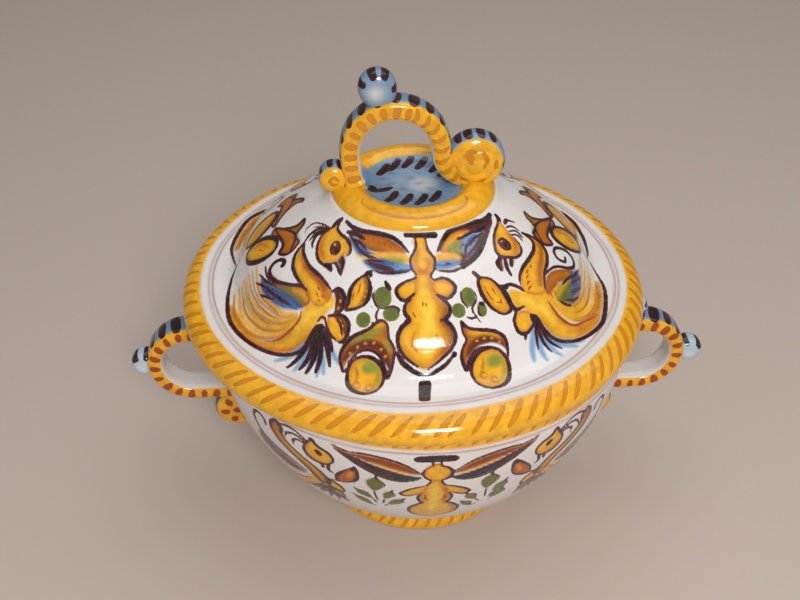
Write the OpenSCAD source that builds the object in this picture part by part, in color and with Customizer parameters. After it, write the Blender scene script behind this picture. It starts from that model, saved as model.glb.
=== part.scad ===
// Lidded two-handled tureen in painted tin-glazed earthenware.
// Origin: centre of the foot's resting plane. +Z up, side handles along X, all sizes in millimetres.
// Every piece is what the potter throws, pulls or rolls and then lutes on with slip, seated face to face.

/* [Bowl] */
// Height of the bowl's rim above the table
bowl_h = 135.7; // [125:0.1:150]
// Outer diameter of the bowl at its mouth
bowl_mouth_d = 243; // [236:1:248]
// Diameter of the flat base that the wall springs from
bowl_base_d = 116; // [108:1:124]
// Thickness of the wall at the rim
bowl_wall = 7; // [5:0.5:9]
// Thickness of the bowl's floor
bowl_floor = 7; // [5:0.5:9]
// Rounding of the rim's two edges
rim_round = 2.4; // [1.5:0.1:3]
// How long the wall stays upright below the rim, as an exponent
wall_upright = 1.8; // [1.6:0.05:2.1]
// How roundly the wall turns in to the base, as an exponent
wall_turn = 1.5; // [1.35:0.05:1.7]

/* [Foot ring] */
// Height of the foot ring's waist, where the bowl's base begins
foot_h = 16; // [12:0.5:20]
// Outer diameter of the foot ring where it rests
foot_d = 127; // [120:1:134]
// Diameter of the foot ring at its waist
foot_waist_d = 118; // [112:1:120]
// Width of the face that the foot ring rests on, before rounding
foot_tread = 10; // [8:0.5:13]

/* [Side handles] */
// Radius of the handle's bend, at the middle of the strap
handle_bend_r = 22; // [20:0.5:24]
// Distance from the bowl's axis to the centre of the bend
handle_reach = 135; // [131:0.5:139]
// Distance from the bowl's rim down to the bend's centre
handle_drop = 47.2; // [46:0.1:52]
// How much higher the left handle sits than that, and the right one lower
handle_offset = 3; // [0:0.5:3]
// Thickness of the strap, from its inner to its outer face
handle_thick = 9.8; // [8.5:0.1:11]
// Depth of the strap, from front to back
handle_depth = 18; // [15:0.5:20]
// Radius of the rolled knob on the outside of the bend
handle_knob_r = 8.7; // [8:0.1:9.5]
// Radius of the rolled curl where the strap leaves the rim
upper_curl_r = 8.4; // [8:0.1:8.8]
// Radius of the rolled curl under the strap's lower end
lower_curl_r = 14.5; // [12:0.5:16]

/* [Lid] */
// Diameter of the lid at its rolled edge
lid_d = 260; // [256:1:268]
// Drop of the rolled edge below its widest line
lid_edge_drop = 6; // [5:0.5:7]
// Rise of the rolled edge above its widest line
lid_edge_rise = 9; // [8:0.5:10]
// Width of the rolled edge's rounded top
lid_edge_w = 11; // [9:0.5:12]
// Radius where the flat flange turns up into the dome
dome_foot_r = 108; // [105:0.5:111]
// Height of the dome's flat top above the widest line
dome_h = 62; // [56:0.5:66]
// Wall thickness of the lid
lid_wall = 6; // [5:0.5:7]
// Depth of the locating ring below the lid's seat
ring_h = 9; // [6:0.5:12]
// Thickness of the locating ring
ring_wall = 6; // [5:0.5:7]
// Free play between the locating ring and the bowl's mouth
ring_play = 5.5; // [4.5:0.1:6.5]
// How far the lid sits to the right of the bowl's axis, within that play
lid_shift = -4; // [-4:0.5:4]
// Gap between the lid's seat and the bowl's rim
seat_gap = 0.3; // [0.2:0.05:0.5]

/* [Collar] */
// Outer diameter of the dished collar that the lid's handle stands on
collar_d = 91; // [88:1:93]
// Diameter of the collar's crest
collar_crest_d = 64; // [62:1:67]
// Height of the crest above the dome's flat top
collar_h = 6.4; // [5:0.2:8]
// Depth of the dish inside the crest
dish_depth = 3.6; // [2.5:0.1:4]

/* [Lid handle] */
// Radius of the arch, at the middle of the strap
arch_r = 23.9; // [22:0.1:26]
// Offset of the arch's centre from the lid's axis, along X
arch_x = -9.6; // [-10.5:0.1:-8.5]
// Height of the arch's centre above the dome's flat top
arch_z = 23.8; // [23.4:0.1:26]
// Thickness of the strap, from its inner to its outer face
arch_thick = 10.8; // [9.5:0.1:12]
// Depth of the strap, from front to back
arch_depth = 16; // [14:0.5:18]
// Radius of the slow inward curve of the left leg
leg_curve_r = 56; // [50:1:70]
// Radius of the curve by which the right leg turns out into the scroll
toe_curve_r = 18; // [17.5:0.1:18.4]
// How far that curve turns before it runs into the scroll, in degrees
toe_sweep = 68; // [60:1:75]
// Radius of the large scroll
scroll_r = 16; // [14.5:0.1:17]
// Depth of the large scroll, from front to back
scroll_depth = 17; // [15:0.5:19]
// Outermost radius of the spiral groove pressed into the scroll's faces
volute_r = 11; // [10.5:0.1:11.5]
// How much that groove comes in with each half turn
volute_step = 2.6; // [2.2:0.1:2.7]
// Full turns of the groove
volute_turns = 2; // [1:1:2]
// Depth of the groove
volute_cut = 1; // [0.6:0.1:1.4]
// Radius of the tool that pressed the groove
volute_tool_r = 1.9; // [1.6:0.1:2.2]
// Radius of the knob on top of the arch
arch_knob_r = 9.8; // [9:0.1:11]
// Direction of that knob from the arch's centre, in degrees from +X
arch_knob_angle = 104.4; // [98:0.1:110]
// Radius of the small curl at the left leg's foot
small_curl_r = 8.2; // [7.6:0.1:9]

/* [Rolls] */
// Depth of the knobs and small curls, from front to back
roll_depth = 14; // [13:0.5:15]
// Rounding of the edges of every strap and roll
edge_round = 3.8; // [3:0.1:4]
// How deep a knob or curl is pressed into the strap that carries it
press_in = 3; // [2:0.1:4]

/* [Hidden] */
$fn = 96;

WHITE = "#e6ddd6";
YELLOW = "#e8ac35";
BLUE = "#7c9cb8";
LEFT = -1;
RIGHT = 1;
VOLUTE_START = 180;
WALL_STEPS = 26;
ARC_STEPS = 8;
DOME_STEPS = 4;

bowl_mouth_r = bowl_mouth_d / 2;
bowl_base_r = bowl_base_d / 2;
bowl_mouth_in_r = bowl_mouth_r - bowl_wall;
inner_base_r = bowl_base_r - bowl_wall;
inner_floor_z = foot_h + bowl_floor;
foot_round = 2;
foot_top_r = foot_waist_d / 2;
foot_r = foot_d / 2;
foot_overlap = 12;

handle_z = bowl_h - handle_drop;
lid_seat_z = bowl_h + seat_gap;
lid_z = lid_seat_z + lid_edge_drop;
lid_r = lid_d / 2;
dome_top_z = lid_z + dome_h;
ring_r = bowl_mouth_in_r - ring_play;
dome_top_r = collar_d / 2 + 1;
edge_low_r = lid_r - lid_edge_drop;

// Half profile of the dome as shares of its run (from its foot to its top) and of its rise
DOME = [
    [0, 0], [0.07, 0.02], [0.14, 0.08], [0.195, 0.2], [0.26, 0.345],
    [0.39, 0.5], [0.58, 0.67], [0.775, 0.815], [0.92, 0.92], [1, 1]
];

arch_centre_z = dome_top_z + arch_z;
leg_centre_x = arch_x - arch_r + leg_curve_r;
leg_angle = asin(arch_z / leg_curve_r);
toe_centre_x = arch_x + arch_r + toe_curve_r;
scroll_z = arch_centre_z - toe_curve_r - arch_thick / 2 + scroll_r;
volute_face_y = scroll_depth / 2 + volute_tool_r - volute_cut;
volute_end_x = 2 * volute_turns * volute_step - volute_r;
arch_knob_reach = arch_r + arch_thick / 2 + arch_knob_r - press_in;
small_curl_z = dome_top_z + small_curl_r + 0.5;
leg_outer_r = leg_curve_r + arch_thick / 2;
small_curl_x = leg_centre_x - leg_reach(leg_outer_r, arch_centre_z - small_curl_z) - small_curl_r + press_in;

// Horizontal distance from an arc's centre to the arc, a given height off that centre
function leg_reach(r, dz) = sqrt(r * r - dz * dz);

// Wall curve of the bowl: superellipse from an upright mouth to a level base
function wall_curve(base_r, mouth_r, base_z, mouth_z) = [
    for (i = [0:WALL_STEPS])
        let (a = 90 * i / WALL_STEPS)
        [
            base_r + (mouth_r - base_r) * pow(sin(a), 2 / wall_turn),
            base_z + (mouth_z - base_z) * (1 - pow(cos(a), 2 / wall_upright))
        ]
];

// Radius of that same curve's outer wall at a height above the table
function wall_r(z) =
    let (t = (bowl_h - z) / (bowl_h - foot_h))
    bowl_base_r + (bowl_mouth_r - bowl_base_r) * pow(1 - pow(t, wall_upright), 1 / wall_turn);

// Quarter or longer arc of an ellipse, from one angle to another
function arc(c, rx, ry, from, to) = [
    for (i = [0:ARC_STEPS])
        let (a = from + (to - from) * i / ARC_STEPS)
        [c[0] + rx * cos(a), c[1] + ry * sin(a)]
];

// Catmull-Rom curve through a list of points
function spline_at(p0, p1, p2, p3, t) =
    0.5 * (2 * p1 + (p2 - p0) * t + (2 * p0 - 5 * p1 + 4 * p2 - p3) * t * t
        + (3 * p1 - p0 - 3 * p2 + p3) * t * t * t);
function spline(p) =
    let (last = len(p) - 1)
    [
        for (i = [0:last - 1])
            for (s = [0:DOME_STEPS - (i == last - 1 ? 0 : 1)])
                spline_at(p[max(i - 1, 0)], p[i], p[i + 1], p[min(i + 2, last)], s / DOME_STEPS)
    ];

// The same curve moved to its inner side by a wall's thickness, along its normals
function inset(c, wall) =
    let (last = len(c) - 1)
    [
        for (i = [0:last])
            let (d = c[min(i + 1, last)] - c[max(i - 1, 0)])
            c[i] + wall * [d[1], -d[0]] / norm(d) * -1
    ];
function reversed(c) = [for (i = [len(c) - 1:-1:0]) c[i]];

dome_curve = spline([
    for (s = DOME)
        [
            dome_foot_r + (dome_top_r - dome_foot_r) * s[0],
            lid_z + lid_edge_rise + (dome_h - lid_edge_rise) * s[1]
        ]
]);

// Rounded rectangle, the section of every pulled strap
module strap_section(w, h) {
    square([w - 2 * edge_round, h], center = true);
    square([w, h - 2 * edge_round], center = true);
    for (x = [-1, 1], y = [-1, 1])
        translate([x * (w / 2 - edge_round), y * (h / 2 - edge_round)])
            circle(edge_round);
}

// A strap bent round a centre in the XZ plane, starting at an angle from +X
module strap_bend(centre, r, from, sweep, thick, depth) {
    translate([centre[0], 0, centre[1]])
        rotate([90, 0, 0])
            rotate([0, 0, from])
                rotate_extrude(angle = sweep)
                    translate([r, 0])
                        strap_section(thick, depth);
}

// A straight strap along X
module strap_run(from_x, to_x, z, thick, depth) {
    translate([from_x, 0, z])
        rotate([90, 0, 90])
            linear_extrude(to_x - from_x)
                strap_section(depth, thick);
}

// A rolled clay drum with rounded edges, lying along Y
module roll(centre, r, depth) {
    translate([centre[0], 0, centre[1]])
        rotate([90, 0, 0])
            rotate_extrude()
                union() {
                    translate([0, edge_round - depth / 2])
                        square([r, depth - 2 * edge_round]);
                    translate([0, -depth / 2])
                        square([r - edge_round, depth]);
                    for (y = [-1, 1])
                        translate([r - edge_round, y * (depth / 2 - edge_round)])
                            circle(edge_round);
                }
}

// Solid inside the bowl's outer wall, which cuts the seats of the pieces luted to it
module bowl_form() {
    rotate_extrude()
        polygon(concat([[0, foot_h]], bowl_outline(), [[0, bowl_h]]));
}

// The bowl's outer wall from its base up to the rounded rim
function bowl_outline() =
    let (curve = wall_curve(bowl_base_r, bowl_mouth_r, foot_h, bowl_h - rim_round))
    concat(
        curve,
        arc([bowl_mouth_r - rim_round, bowl_h - rim_round], rim_round, rim_round, 0, 90)
    );

module bowl() {
    color(WHITE)
        rotate_extrude()
            polygon(concat(
                [[0, foot_h]],
                bowl_outline(),
                arc([bowl_mouth_in_r + rim_round, bowl_h - rim_round], rim_round, rim_round, 90, 180),
                reversed(wall_curve(inner_base_r, bowl_mouth_in_r, inner_floor_z, bowl_h - rim_round)),
                [[0, inner_floor_z]]
            ));
}

module foot_ring() {
    color(YELLOW)
        difference() {
            rotate_extrude()
                polygon(concat(
                    arc([foot_r - foot_round, foot_round], foot_round, foot_round, -90, 0),
                    [[foot_top_r, foot_h - foot_round], [foot_top_r, foot_h + foot_overlap / 2]],
                    [[foot_top_r - foot_tread, foot_h + foot_overlap / 2]],
                    arc([foot_r - foot_tread + foot_round, foot_round], foot_round, foot_round, 180, 270)
                ));
            bowl_form();
        }
}

// Height of a side handle's bend above the table
function handle_centre_z(side) = handle_z - side * handle_offset;

module on_side(side) {
    mirror([side == LEFT ? 1 : 0, 0, 0])
        children();
}

module handle_strap_form(side) {
    z = handle_centre_z(side);
    strap_bend([handle_reach, z], handle_bend_r, -90, 180, handle_thick, handle_depth);
    for (s = [-1, 1])
        strap_run(bowl_base_r, handle_reach, z + s * handle_bend_r, handle_thick, handle_depth);
}

module handle_strap(side) {
    on_side(side)
        difference() {
            handle_strap_form(side);
            bowl_form();
        }
}

module handle_knob(side) {
    x = handle_reach + handle_bend_r + handle_thick / 2 + handle_knob_r - press_in - 1;
    on_side(side)
        difference() {
            roll([x, handle_centre_z(side) - 1.5], handle_knob_r, roll_depth);
            handle_strap_form(side);
        }
}

module handle_upper_curl(side) {
    z = handle_centre_z(side) + handle_bend_r + handle_thick / 2 + upper_curl_r - press_in / 2;
    on_side(side)
        difference() {
            roll([bowl_mouth_r + upper_curl_r - press_in, z], upper_curl_r, roll_depth);
            handle_strap_form(side);
            bowl_form();
        }
}

module handle_lower_curl(side) {
    z = handle_centre_z(side) - handle_bend_r - handle_thick / 2 - lower_curl_r + press_in;
    on_side(side)
        difference() {
            roll([wall_r(z) + lower_curl_r, z], lower_curl_r, roll_depth);
            handle_strap_form(side);
            bowl_form();
        }
}

module lid() {
    inner = inset(dome_curve, lid_wall);
    color(WHITE)
        translate([lid_shift, 0, 0])
            rotate_extrude()
                polygon(concat(
                    [[0, dome_top_z]],
                    reversed(dome_curve),
                    arc([lid_r - lid_edge_w, lid_z], lid_edge_w, lid_edge_rise, 90, 0),
                    arc([edge_low_r, lid_z], lid_edge_drop, lid_edge_drop, 0, -90),
                    [[ring_r, lid_seat_z], [ring_r, lid_seat_z - ring_h + rim_round]],
                    arc([ring_r - rim_round, lid_seat_z - ring_h + rim_round], rim_round, rim_round, 0, -90),
                    arc([ring_r - ring_wall + rim_round, lid_seat_z - ring_h + rim_round],
                        rim_round, rim_round, -90, -180),
                    [[ring_r - ring_wall, lid_seat_z]],
                    [for (q = inner) if (q[0] < ring_r - ring_wall - 1) q],
                    [[0, dome_top_z - lid_wall]]
                ));
}

// Outline of the dished collar: slope, crest and shallow dish
module collar_form() {
    crest_r = collar_crest_d / 2;
    translate([lid_shift, 0, dome_top_z])
        rotate_extrude()
            polygon(concat(
                [[0, 0], [collar_d / 2, 0]],
                arc([crest_r, 0], collar_d / 2 - crest_r, collar_h, 0, 90),
                arc([0, collar_h], crest_r, dish_depth, -20, -90)
            ));
}

module lid_collar() {
    color(YELLOW)
        collar_form();
}

module arch_form() {
    translate([lid_shift, 0, 0]) {
        strap_bend([arch_x, arch_centre_z], arch_r, 0, 180, arch_thick, arch_depth);
        strap_bend([leg_centre_x, arch_centre_z], leg_curve_r, 180, leg_angle, arch_thick, arch_depth);
        strap_bend([toe_centre_x, arch_centre_z], toe_curve_r, 180, toe_sweep, arch_thick, arch_depth);
    }
}

module scroll_form() {
    roll([lid_shift + toe_centre_x, scroll_z], scroll_r, scroll_depth);
}

// Solid just under the dome's flat top, where the collar and the handle's legs stop
module dome_top_form() {
    translate([lid_shift, 0, dome_top_z - lid_wall])
        cylinder(r = dome_top_r, h = lid_wall);
}

module lid_handle_arch() {
    color(YELLOW)
        difference() {
            arch_form();
            scroll_form();
            collar_form();
            dome_top_form();
        }
}

// Spiral groove of half turns, each smaller by the step, wound the way the strap rolls up
module volute_groove() {
    for (half_turn = [0:2 * volute_turns - 1]) {
        r = volute_r - half_turn * volute_step;
        odd = half_turn % 2;
        translate([odd * volute_step, 0])
            rotate([0, 0, VOLUTE_START + odd * 180])
                rotate_extrude(angle = 180)
                    translate([r, 0])
                        circle(volute_tool_r);
    }
    translate([-volute_r, 0])
        sphere(volute_tool_r);
    translate([volute_end_x, 0])
        sphere(volute_tool_r);
}

module lid_handle_scroll() {
    color(YELLOW)
        difference() {
            scroll_form();
            collar_form();
            for (face = [-1, 1])
                translate([lid_shift + toe_centre_x, face * volute_face_y, scroll_z])
                    rotate([90, 0, 0])
                        volute_groove();
        }
}

module lid_handle_knob() {
    centre = [
        lid_shift + arch_x + arch_knob_reach * cos(arch_knob_angle),
        arch_centre_z + arch_knob_reach * sin(arch_knob_angle)
    ];
    color(BLUE)
        difference() {
            roll(centre, arch_knob_r, roll_depth);
            arch_form();
        }
}

module lid_handle_small_curl() {
    color(BLUE)
        difference() {
            roll([lid_shift + small_curl_x, small_curl_z], small_curl_r, roll_depth);
            arch_form();
            collar_form();
        }
}

module left_handle_strap() {
    color(YELLOW)
        handle_strap(LEFT);
}

module right_handle_strap() {
    color(YELLOW)
        handle_strap(RIGHT);
}

module left_handle_knob() {
    color(BLUE)
        handle_knob(LEFT);
}

module right_handle_knob() {
    color(BLUE)
        handle_knob(RIGHT);
}

module left_handle_upper_curl() {
    color(BLUE)
        handle_upper_curl(LEFT);
}

module right_handle_upper_curl() {
    color(BLUE)
        handle_upper_curl(RIGHT);
}

module left_handle_lower_curl() {
    color(YELLOW)
        handle_lower_curl(LEFT);
}

module right_handle_lower_curl() {
    color(YELLOW)
        handle_lower_curl(RIGHT);
}

bowl();
foot_ring();
left_handle_strap();
left_handle_knob();
left_handle_upper_curl();
left_handle_lower_curl();
right_handle_strap();
right_handle_knob();
right_handle_upper_curl();
right_handle_lower_curl();
lid();
lid_collar();
lid_handle_arch();
lid_handle_knob();
lid_handle_small_curl();
lid_handle_scroll();
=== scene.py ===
"""Lidded two-handled tureen in painted tin-glazed earthenware.

Every piece is a surface worked out with numpy and painted the way a maiolica painter works: a white
tin glaze, soft washes of colour, and brush strokes of five pigments over them. A piece carries its
washes as a colour attribute and, for each pigment, the distance to the nearest brush stroke in
millimetres, so that the material can draw every stroke with a crisp, slightly ragged edge.
"""

import math

import bpy
import numpy as np
from mathutils import Euler, Matrix, Vector


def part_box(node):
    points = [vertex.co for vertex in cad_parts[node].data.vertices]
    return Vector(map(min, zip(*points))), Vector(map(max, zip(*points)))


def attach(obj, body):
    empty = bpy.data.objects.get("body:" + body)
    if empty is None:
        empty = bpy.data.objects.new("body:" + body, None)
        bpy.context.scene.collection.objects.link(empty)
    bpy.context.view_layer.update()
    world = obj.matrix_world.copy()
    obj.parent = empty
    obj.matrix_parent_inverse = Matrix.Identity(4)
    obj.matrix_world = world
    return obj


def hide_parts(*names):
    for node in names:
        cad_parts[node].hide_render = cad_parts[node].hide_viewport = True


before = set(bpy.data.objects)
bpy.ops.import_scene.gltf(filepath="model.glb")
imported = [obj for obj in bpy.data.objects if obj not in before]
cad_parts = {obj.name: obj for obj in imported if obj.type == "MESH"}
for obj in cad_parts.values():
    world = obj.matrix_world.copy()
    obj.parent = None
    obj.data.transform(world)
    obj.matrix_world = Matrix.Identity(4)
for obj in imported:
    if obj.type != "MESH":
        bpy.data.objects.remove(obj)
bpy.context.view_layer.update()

bl_info = {
    "name": "Painted Tureen",
    "version": (1, 0, 0),
    "blender": (4, 5, 0),
    "location": "View3D > Sidebar > Tureen",
    "description": "Builds a painted tin-glazed tureen, piece by piece, and its studio stage",
    "category": "Object",
}

MM = 0.001
FRONT = 0.0
BACK = math.pi

# Distances from the brush strokes are kept up to this far
INK_REACH = 3.0
# A place on the painter's sheet that no stroke comes near
OFF_SHEET = 1e4
# Where a strap meets another piece: how far it spreads, and over what distance that fades
FILLET = 2.2
FILLET_FADE = 2.0
TOE_DRAW = 0.3
# A strap's section: the superellipse's power, and its vertices round
STRAP_SQUARENESS = 3.6
STRAP_COLUMNS = 84
# How much a roll grows towards its strap, and over what angle in radians
BLEND = 0.34
BLEND_ANGLE = 0.75


# ---- Colour ----

def linear(hex_colour):
    """sRGB hex string to linear red, green and blue."""
    channels = np.array([int(hex_colour[i:i + 2], 16) / 255 for i in (1, 3, 5)])
    return np.where(channels <= 0.04045, channels / 12.92, ((channels + 0.055) / 1.055) ** 2.4)


def opaque(hex_colour):
    """sRGB hex string to linear red, green and blue with an alpha of one, for a shader's socket."""
    return (*linear(hex_colour), 1.0)


def glaze_colour(name, description, hex_colour):
    """A colour that the user can change, stored linear."""
    return bpy.props.FloatVectorProperty(name=name, description=description, default=linear(hex_colour),
        min=0.0, max=1.0, size=3, subtype="COLOR")


class TureenColours(bpy.types.PropertyGroup):
    white: glaze_colour("White", "Opaque tin glaze", "#e1dddb")
    yellow: glaze_colour("Yellow", "Antimony yellow with a little iron", "#e8aa24")
    pale_yellow: glaze_colour("Pale yellow", "Thin antimony yellow", "#f3cb4a")
    lemon: glaze_colour("Lemon", "Very thin antimony yellow", "#e8d083")
    ochre: glaze_colour("Ochre", "Iron over antimony yellow", "#b66c15")
    orange: glaze_colour("Orange", "Strong iron wash", "#b5560f")
    rust: glaze_colour("Rust", "Pooled iron wash", "#8a3d14")
    olive: glaze_colour("Olive", "Copper green over yellow", "#666c2d")
    leaf: glaze_colour("Leaf green", "Thin copper green over yellow", "#8a9038")
    blue: glaze_colour("Blue", "Thin cobalt wash", "#7390ad")
    pale_blue: glaze_colour("Pale blue", "Very thin cobalt wash", "#a9bfce")
    sky: glaze_colour("Sky", "Bright cobalt wash", "#6f9cc4")
    deep_blue: glaze_colour("Deep blue", "Cobalt wash", "#33547f")
    teal: glaze_colour("Teal", "Cobalt and copper, laid thick", "#3d5a5e")
    umber: glaze_colour("Umber", "Manganese and iron wash", "#59291f")
    mauve: glaze_colour("Mauve", "Thin manganese line", "#b18f8c")


def tone(colour):
    """The glaze colour of that name as the user has set it. A colour passes through unchanged."""
    return np.array(getattr(bpy.context.scene.tureen_colours, colour) if isinstance(colour, str) else colour)


# ---- Curves and distances, in millimetres on the painter's flat sheet ----

def spline(points, steps=8, closed=False):
    """Catmull-Rom curve: between points p1 and p2 it is the cubic that has (p2 - p0) / 2 and
    (p3 - p1) / 2 as its end slopes."""
    p = np.asarray(points, float)
    if closed:
        p = np.vstack([p[-1], p, p[0], p[1]])
    else:
        p = np.vstack([2 * p[0] - p[1], p, 2 * p[-1] - p[-2]])
    t = np.linspace(0, 1, steps, endpoint=False)[:, None, None]
    p0, p1, p2, p3 = p[None, :-3], p[None, 1:-2], p[None, 2:-1], p[None, 3:]
    curve = 0.5 * (
        2 * p1 + (p2 - p0) * t + (2 * p0 - 5 * p1 + 4 * p2 - p3) * t ** 2
        + (3 * p1 - p0 - 3 * p2 + p3) * t ** 3
    )
    curve = curve.transpose(1, 0, 2).reshape(-1, p.shape[1])
    return curve if closed else np.vstack([curve, p[-2]])


def distances_along(path):
    """Distance travelled along the path at each of its points."""
    return np.r_[0, np.cumsum(np.hypot(*np.diff(path, axis=0).T))]


def resampled(path, count):
    """The same path with its points spread evenly along its length."""
    travelled = distances_along(path)
    places = np.linspace(0, travelled[-1], count)
    return np.stack([np.interp(places, travelled, axis) for axis in path.T], axis=-1)


def arc(centre, rx, ry, start, end, count=10):
    """Points on an ellipse round a centre, between two angles in degrees."""
    a = np.radians(np.linspace(start, end, count))
    return np.stack([centre[0] + rx * np.cos(a), centre[1] + ry * np.sin(a)], axis=-1)


def path_distance(u, v, path, half):
    """Distance from each point to a brush stroke: the least, over the path's straight pieces, of
    the distance to the piece less the stroke's half width there."""
    least = np.full(u.shape, 1e9)
    for i in range(len(path) - 1):
        a = path[i]
        d = path[i + 1] - a
        along = np.clip(((u - a[0]) * d[0] + (v - a[1]) * d[1]) / max(d @ d, 1e-9), 0, 1)
        reach = np.hypot(u - a[0] - along * d[0], v - a[1] - along * d[1])
        least = np.minimum(least, reach - half[i] - along * (half[i + 1] - half[i]))
    return least


def wrapped(angle):
    """The angle between minus and plus half a turn."""
    return (angle + np.pi) % (2 * np.pi) - np.pi


def inside(u, v, outline):
    """Whether each point lies in a closed outline, by the even-odd count of edges to its right."""
    odd = np.zeros(u.shape, bool)
    for a, b in zip(outline, np.roll(outline, -1, axis=0)):
        crosses = (a[1] > v) != (b[1] > v)
        if crosses.any():
            at = a[0] + (v - a[1]) / (b[1] - a[1] + 1e-12) * (b[0] - a[0])
            odd ^= crosses & (u < at)
    return odd


# ---- Painting ----

class Painting:
    """What is painted on one piece: each vertex's place on a flat sheet, its wash colour, and its
    distance outside the nearest brush stroke of each pigment."""

    def __init__(self, u, v, ground):
        self.place(u, v)
        self.wash = np.tile(tone(ground), (self.u.size, 1))
        self.ink = {pigment: np.full(self.u.size, INK_REACH) for pigment in PIGMENT_TONES}

    def place(self, u, v):
        """Lays another sheet over the same surface."""
        self.u = np.ravel(u)
        self.v = np.ravel(v)
        self.side = 1

    def turn_over(self, side):
        """Turns the sheet so that what is drawn comes out mirrored for side -1."""
        self.u = self.u * side * self.side
        self.side = side

    def near(self, path, margin):
        """Numbers of the vertices in the path's bounding box, grown by a margin."""
        low = path.min(0) - margin
        high = path.max(0) + margin
        keep = (self.u > low[0]) & (self.u < high[0]) & (self.v > low[1]) & (self.v < high[1])
        return np.flatnonzero(keep)

    def lay(self, index, cover, colour):
        """Mixes a wash into the vertices, by its cover from 0 to 1."""
        share = np.clip(cover, 0, 1)[:, None]
        self.wash[index] += share * (tone(colour) - self.wash[index])

    def zone(self, cover, colour):
        """A wash over the whole piece, by a cover for every vertex."""
        self.lay(np.arange(self.u.size), np.ravel(cover), colour)

    def draw(self, index, pigment, distance):
        """Adds strokes by their distance to the given vertices."""
        kept = np.minimum(self.ink[pigment][index], distance)
        self.ink[pigment][index] = np.clip(kept, -INK_REACH, INK_REACH)

    def stroke(self, pigment, width, points, ends=0.35):
        """A brush stroke along the smooth curve through the points, width across at its middle and
        thinning to a share of that at its ends: one share for both, or one for each."""
        path = spline(points, 6) if len(points) > 2 else np.asarray(points, float)
        t = np.linspace(0, 1, len(path))
        if len(points) == 2:
            path = resampled(path, 7)
            t = np.linspace(0, 1, 7)
        swell = np.where(t < 0.5, *np.broadcast_to(ends, 2))
        half = 0.5 * width * (swell + (1 - swell) * np.sin(np.pi * t) ** 0.7)
        index = self.near(path, width + 1.5)
        self.draw(index, pigment, path_distance(self.u[index], self.v[index], path, half))

    def fill(self, colour, points, deep=None, depth=3.5, line=0.0, soft=0.35, cover=1.0):
        """A wash inside the smooth closed curve through the points. It grows from the deep colour
        at its edge to the colour a depth inside, and a manganese line may follow the edge."""
        path = spline(points, 6, closed=True)
        index = self.near(path, line + 1.5)
        u = self.u[index]
        v = self.v[index]
        loop = np.vstack([path, path[0]])
        distance = path_distance(u, v, loop, np.zeros(len(loop)))
        signed = np.where(inside(u, v, path), -distance, distance)
        if deep is not None:
            share = np.clip(-signed / depth, 0, 1)[:, None]
            colour = tone(deep) + (tone(colour) - tone(deep)) * share ** 0.8
        self.lay(index, (0.5 - signed / (2 * soft)) * cover, colour)
        if line:
            press = np.sin(np.linspace(0, 4 * np.pi, len(loop)) + self.side * loop[0, 0])
            self.draw(index, "manganese", path_distance(u, v, loop, line / 2 * (1 + 0.28 * press)))

    def tint(self, colour, width, points, soft=1.5, cover=0.8):
        """A soft wash along the smooth curve through the points, fading over a distance beyond
        half its width."""
        path = spline(points, 5)
        half = width / 2 * np.sin(np.pi * np.linspace(0.08, 0.92, len(path))) ** 0.5
        index = self.near(path, width / 2 + soft)
        outside = path_distance(self.u[index], self.v[index], path, half)
        self.lay(index, np.clip(0.5 - outside / (2 * soft), 0, 1) * cover, colour)

    def strokes(self, pigment, width, *curves, ends=(0.5, 0.25)):
        """Several brush strokes alike."""
        for points in curves:
            self.stroke(pigment, width, points, ends)

    def outline(self, width, *curves, ends=(0.5, 0.25)):
        """Dark strokes of manganese, with which the drawing is outlined and finished."""
        self.strokes("manganese", width, *curves, ends=ends)


# ---- Meshes ----

def band_faces(start_a, count_a, start_b, count_b):
    """Faces between two rings of vertices that run the same way round. The counts are equal, or
    one is a whole multiple of the other, or one is 1, which is a pole."""
    if count_a == count_b:
        i = np.arange(count_a)
        j = (i + 1) % count_a
        return [np.stack([start_a + i, start_b + i, start_b + j, start_a + j], -1)]
    many, few = max(count_a, count_b), min(count_a, count_b)
    ratio = many // few
    fine = np.arange(many)
    step = fine % ratio
    corner = fine // ratio + (step >= ratio // 2) * (few > 1)
    following = (fine + 1) % many
    coarse = np.arange(few)
    next_coarse = (coarse + 1) % few
    middle = coarse * ratio + ratio // 2
    if count_a > count_b:
        fans = np.stack([start_a + fine, start_b + corner % few, start_a + following], -1)
        gaps = np.stack([start_a + middle, start_b + coarse, start_b + next_coarse], -1)
    else:
        fans = np.stack([start_a + corner % few, start_b + fine, start_b + following], -1)
        gaps = np.stack([start_a + coarse, start_b + middle, start_a + next_coarse], -1)
    return [fans, gaps] if few > 1 else [fans]


def rings_to_faces(rings, looped):
    """Faces of a closed surface given as rings of vertices from one pole to the other, or round a
    loop back to the first ring."""
    starts = np.cumsum([0] + [len(ring) for ring in rings])
    faces = []
    for i in range(len(rings) if looped else len(rings) - 1):
        j = (i + 1) % len(rings)
        faces += band_faces(starts[i], len(rings[i]), starts[j], len(rings[j]))
    return faces


def volume(points, faces):
    """Volume that the faces enclose: the sum over triangles of a . (b x c) / 6."""
    total = 0.0
    for group in faces:
        for k in range(1, group.shape[1] - 1):
            a, b, c = points[group[:, 0]], points[group[:, k]], points[group[:, k + 1]]
            total += np.einsum("ij,ij->", a, np.cross(b, c)) / 6
    return total


def link(thing):
    """Puts a new object into the scene."""
    bpy.context.scene.collection.objects.link(thing)


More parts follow.
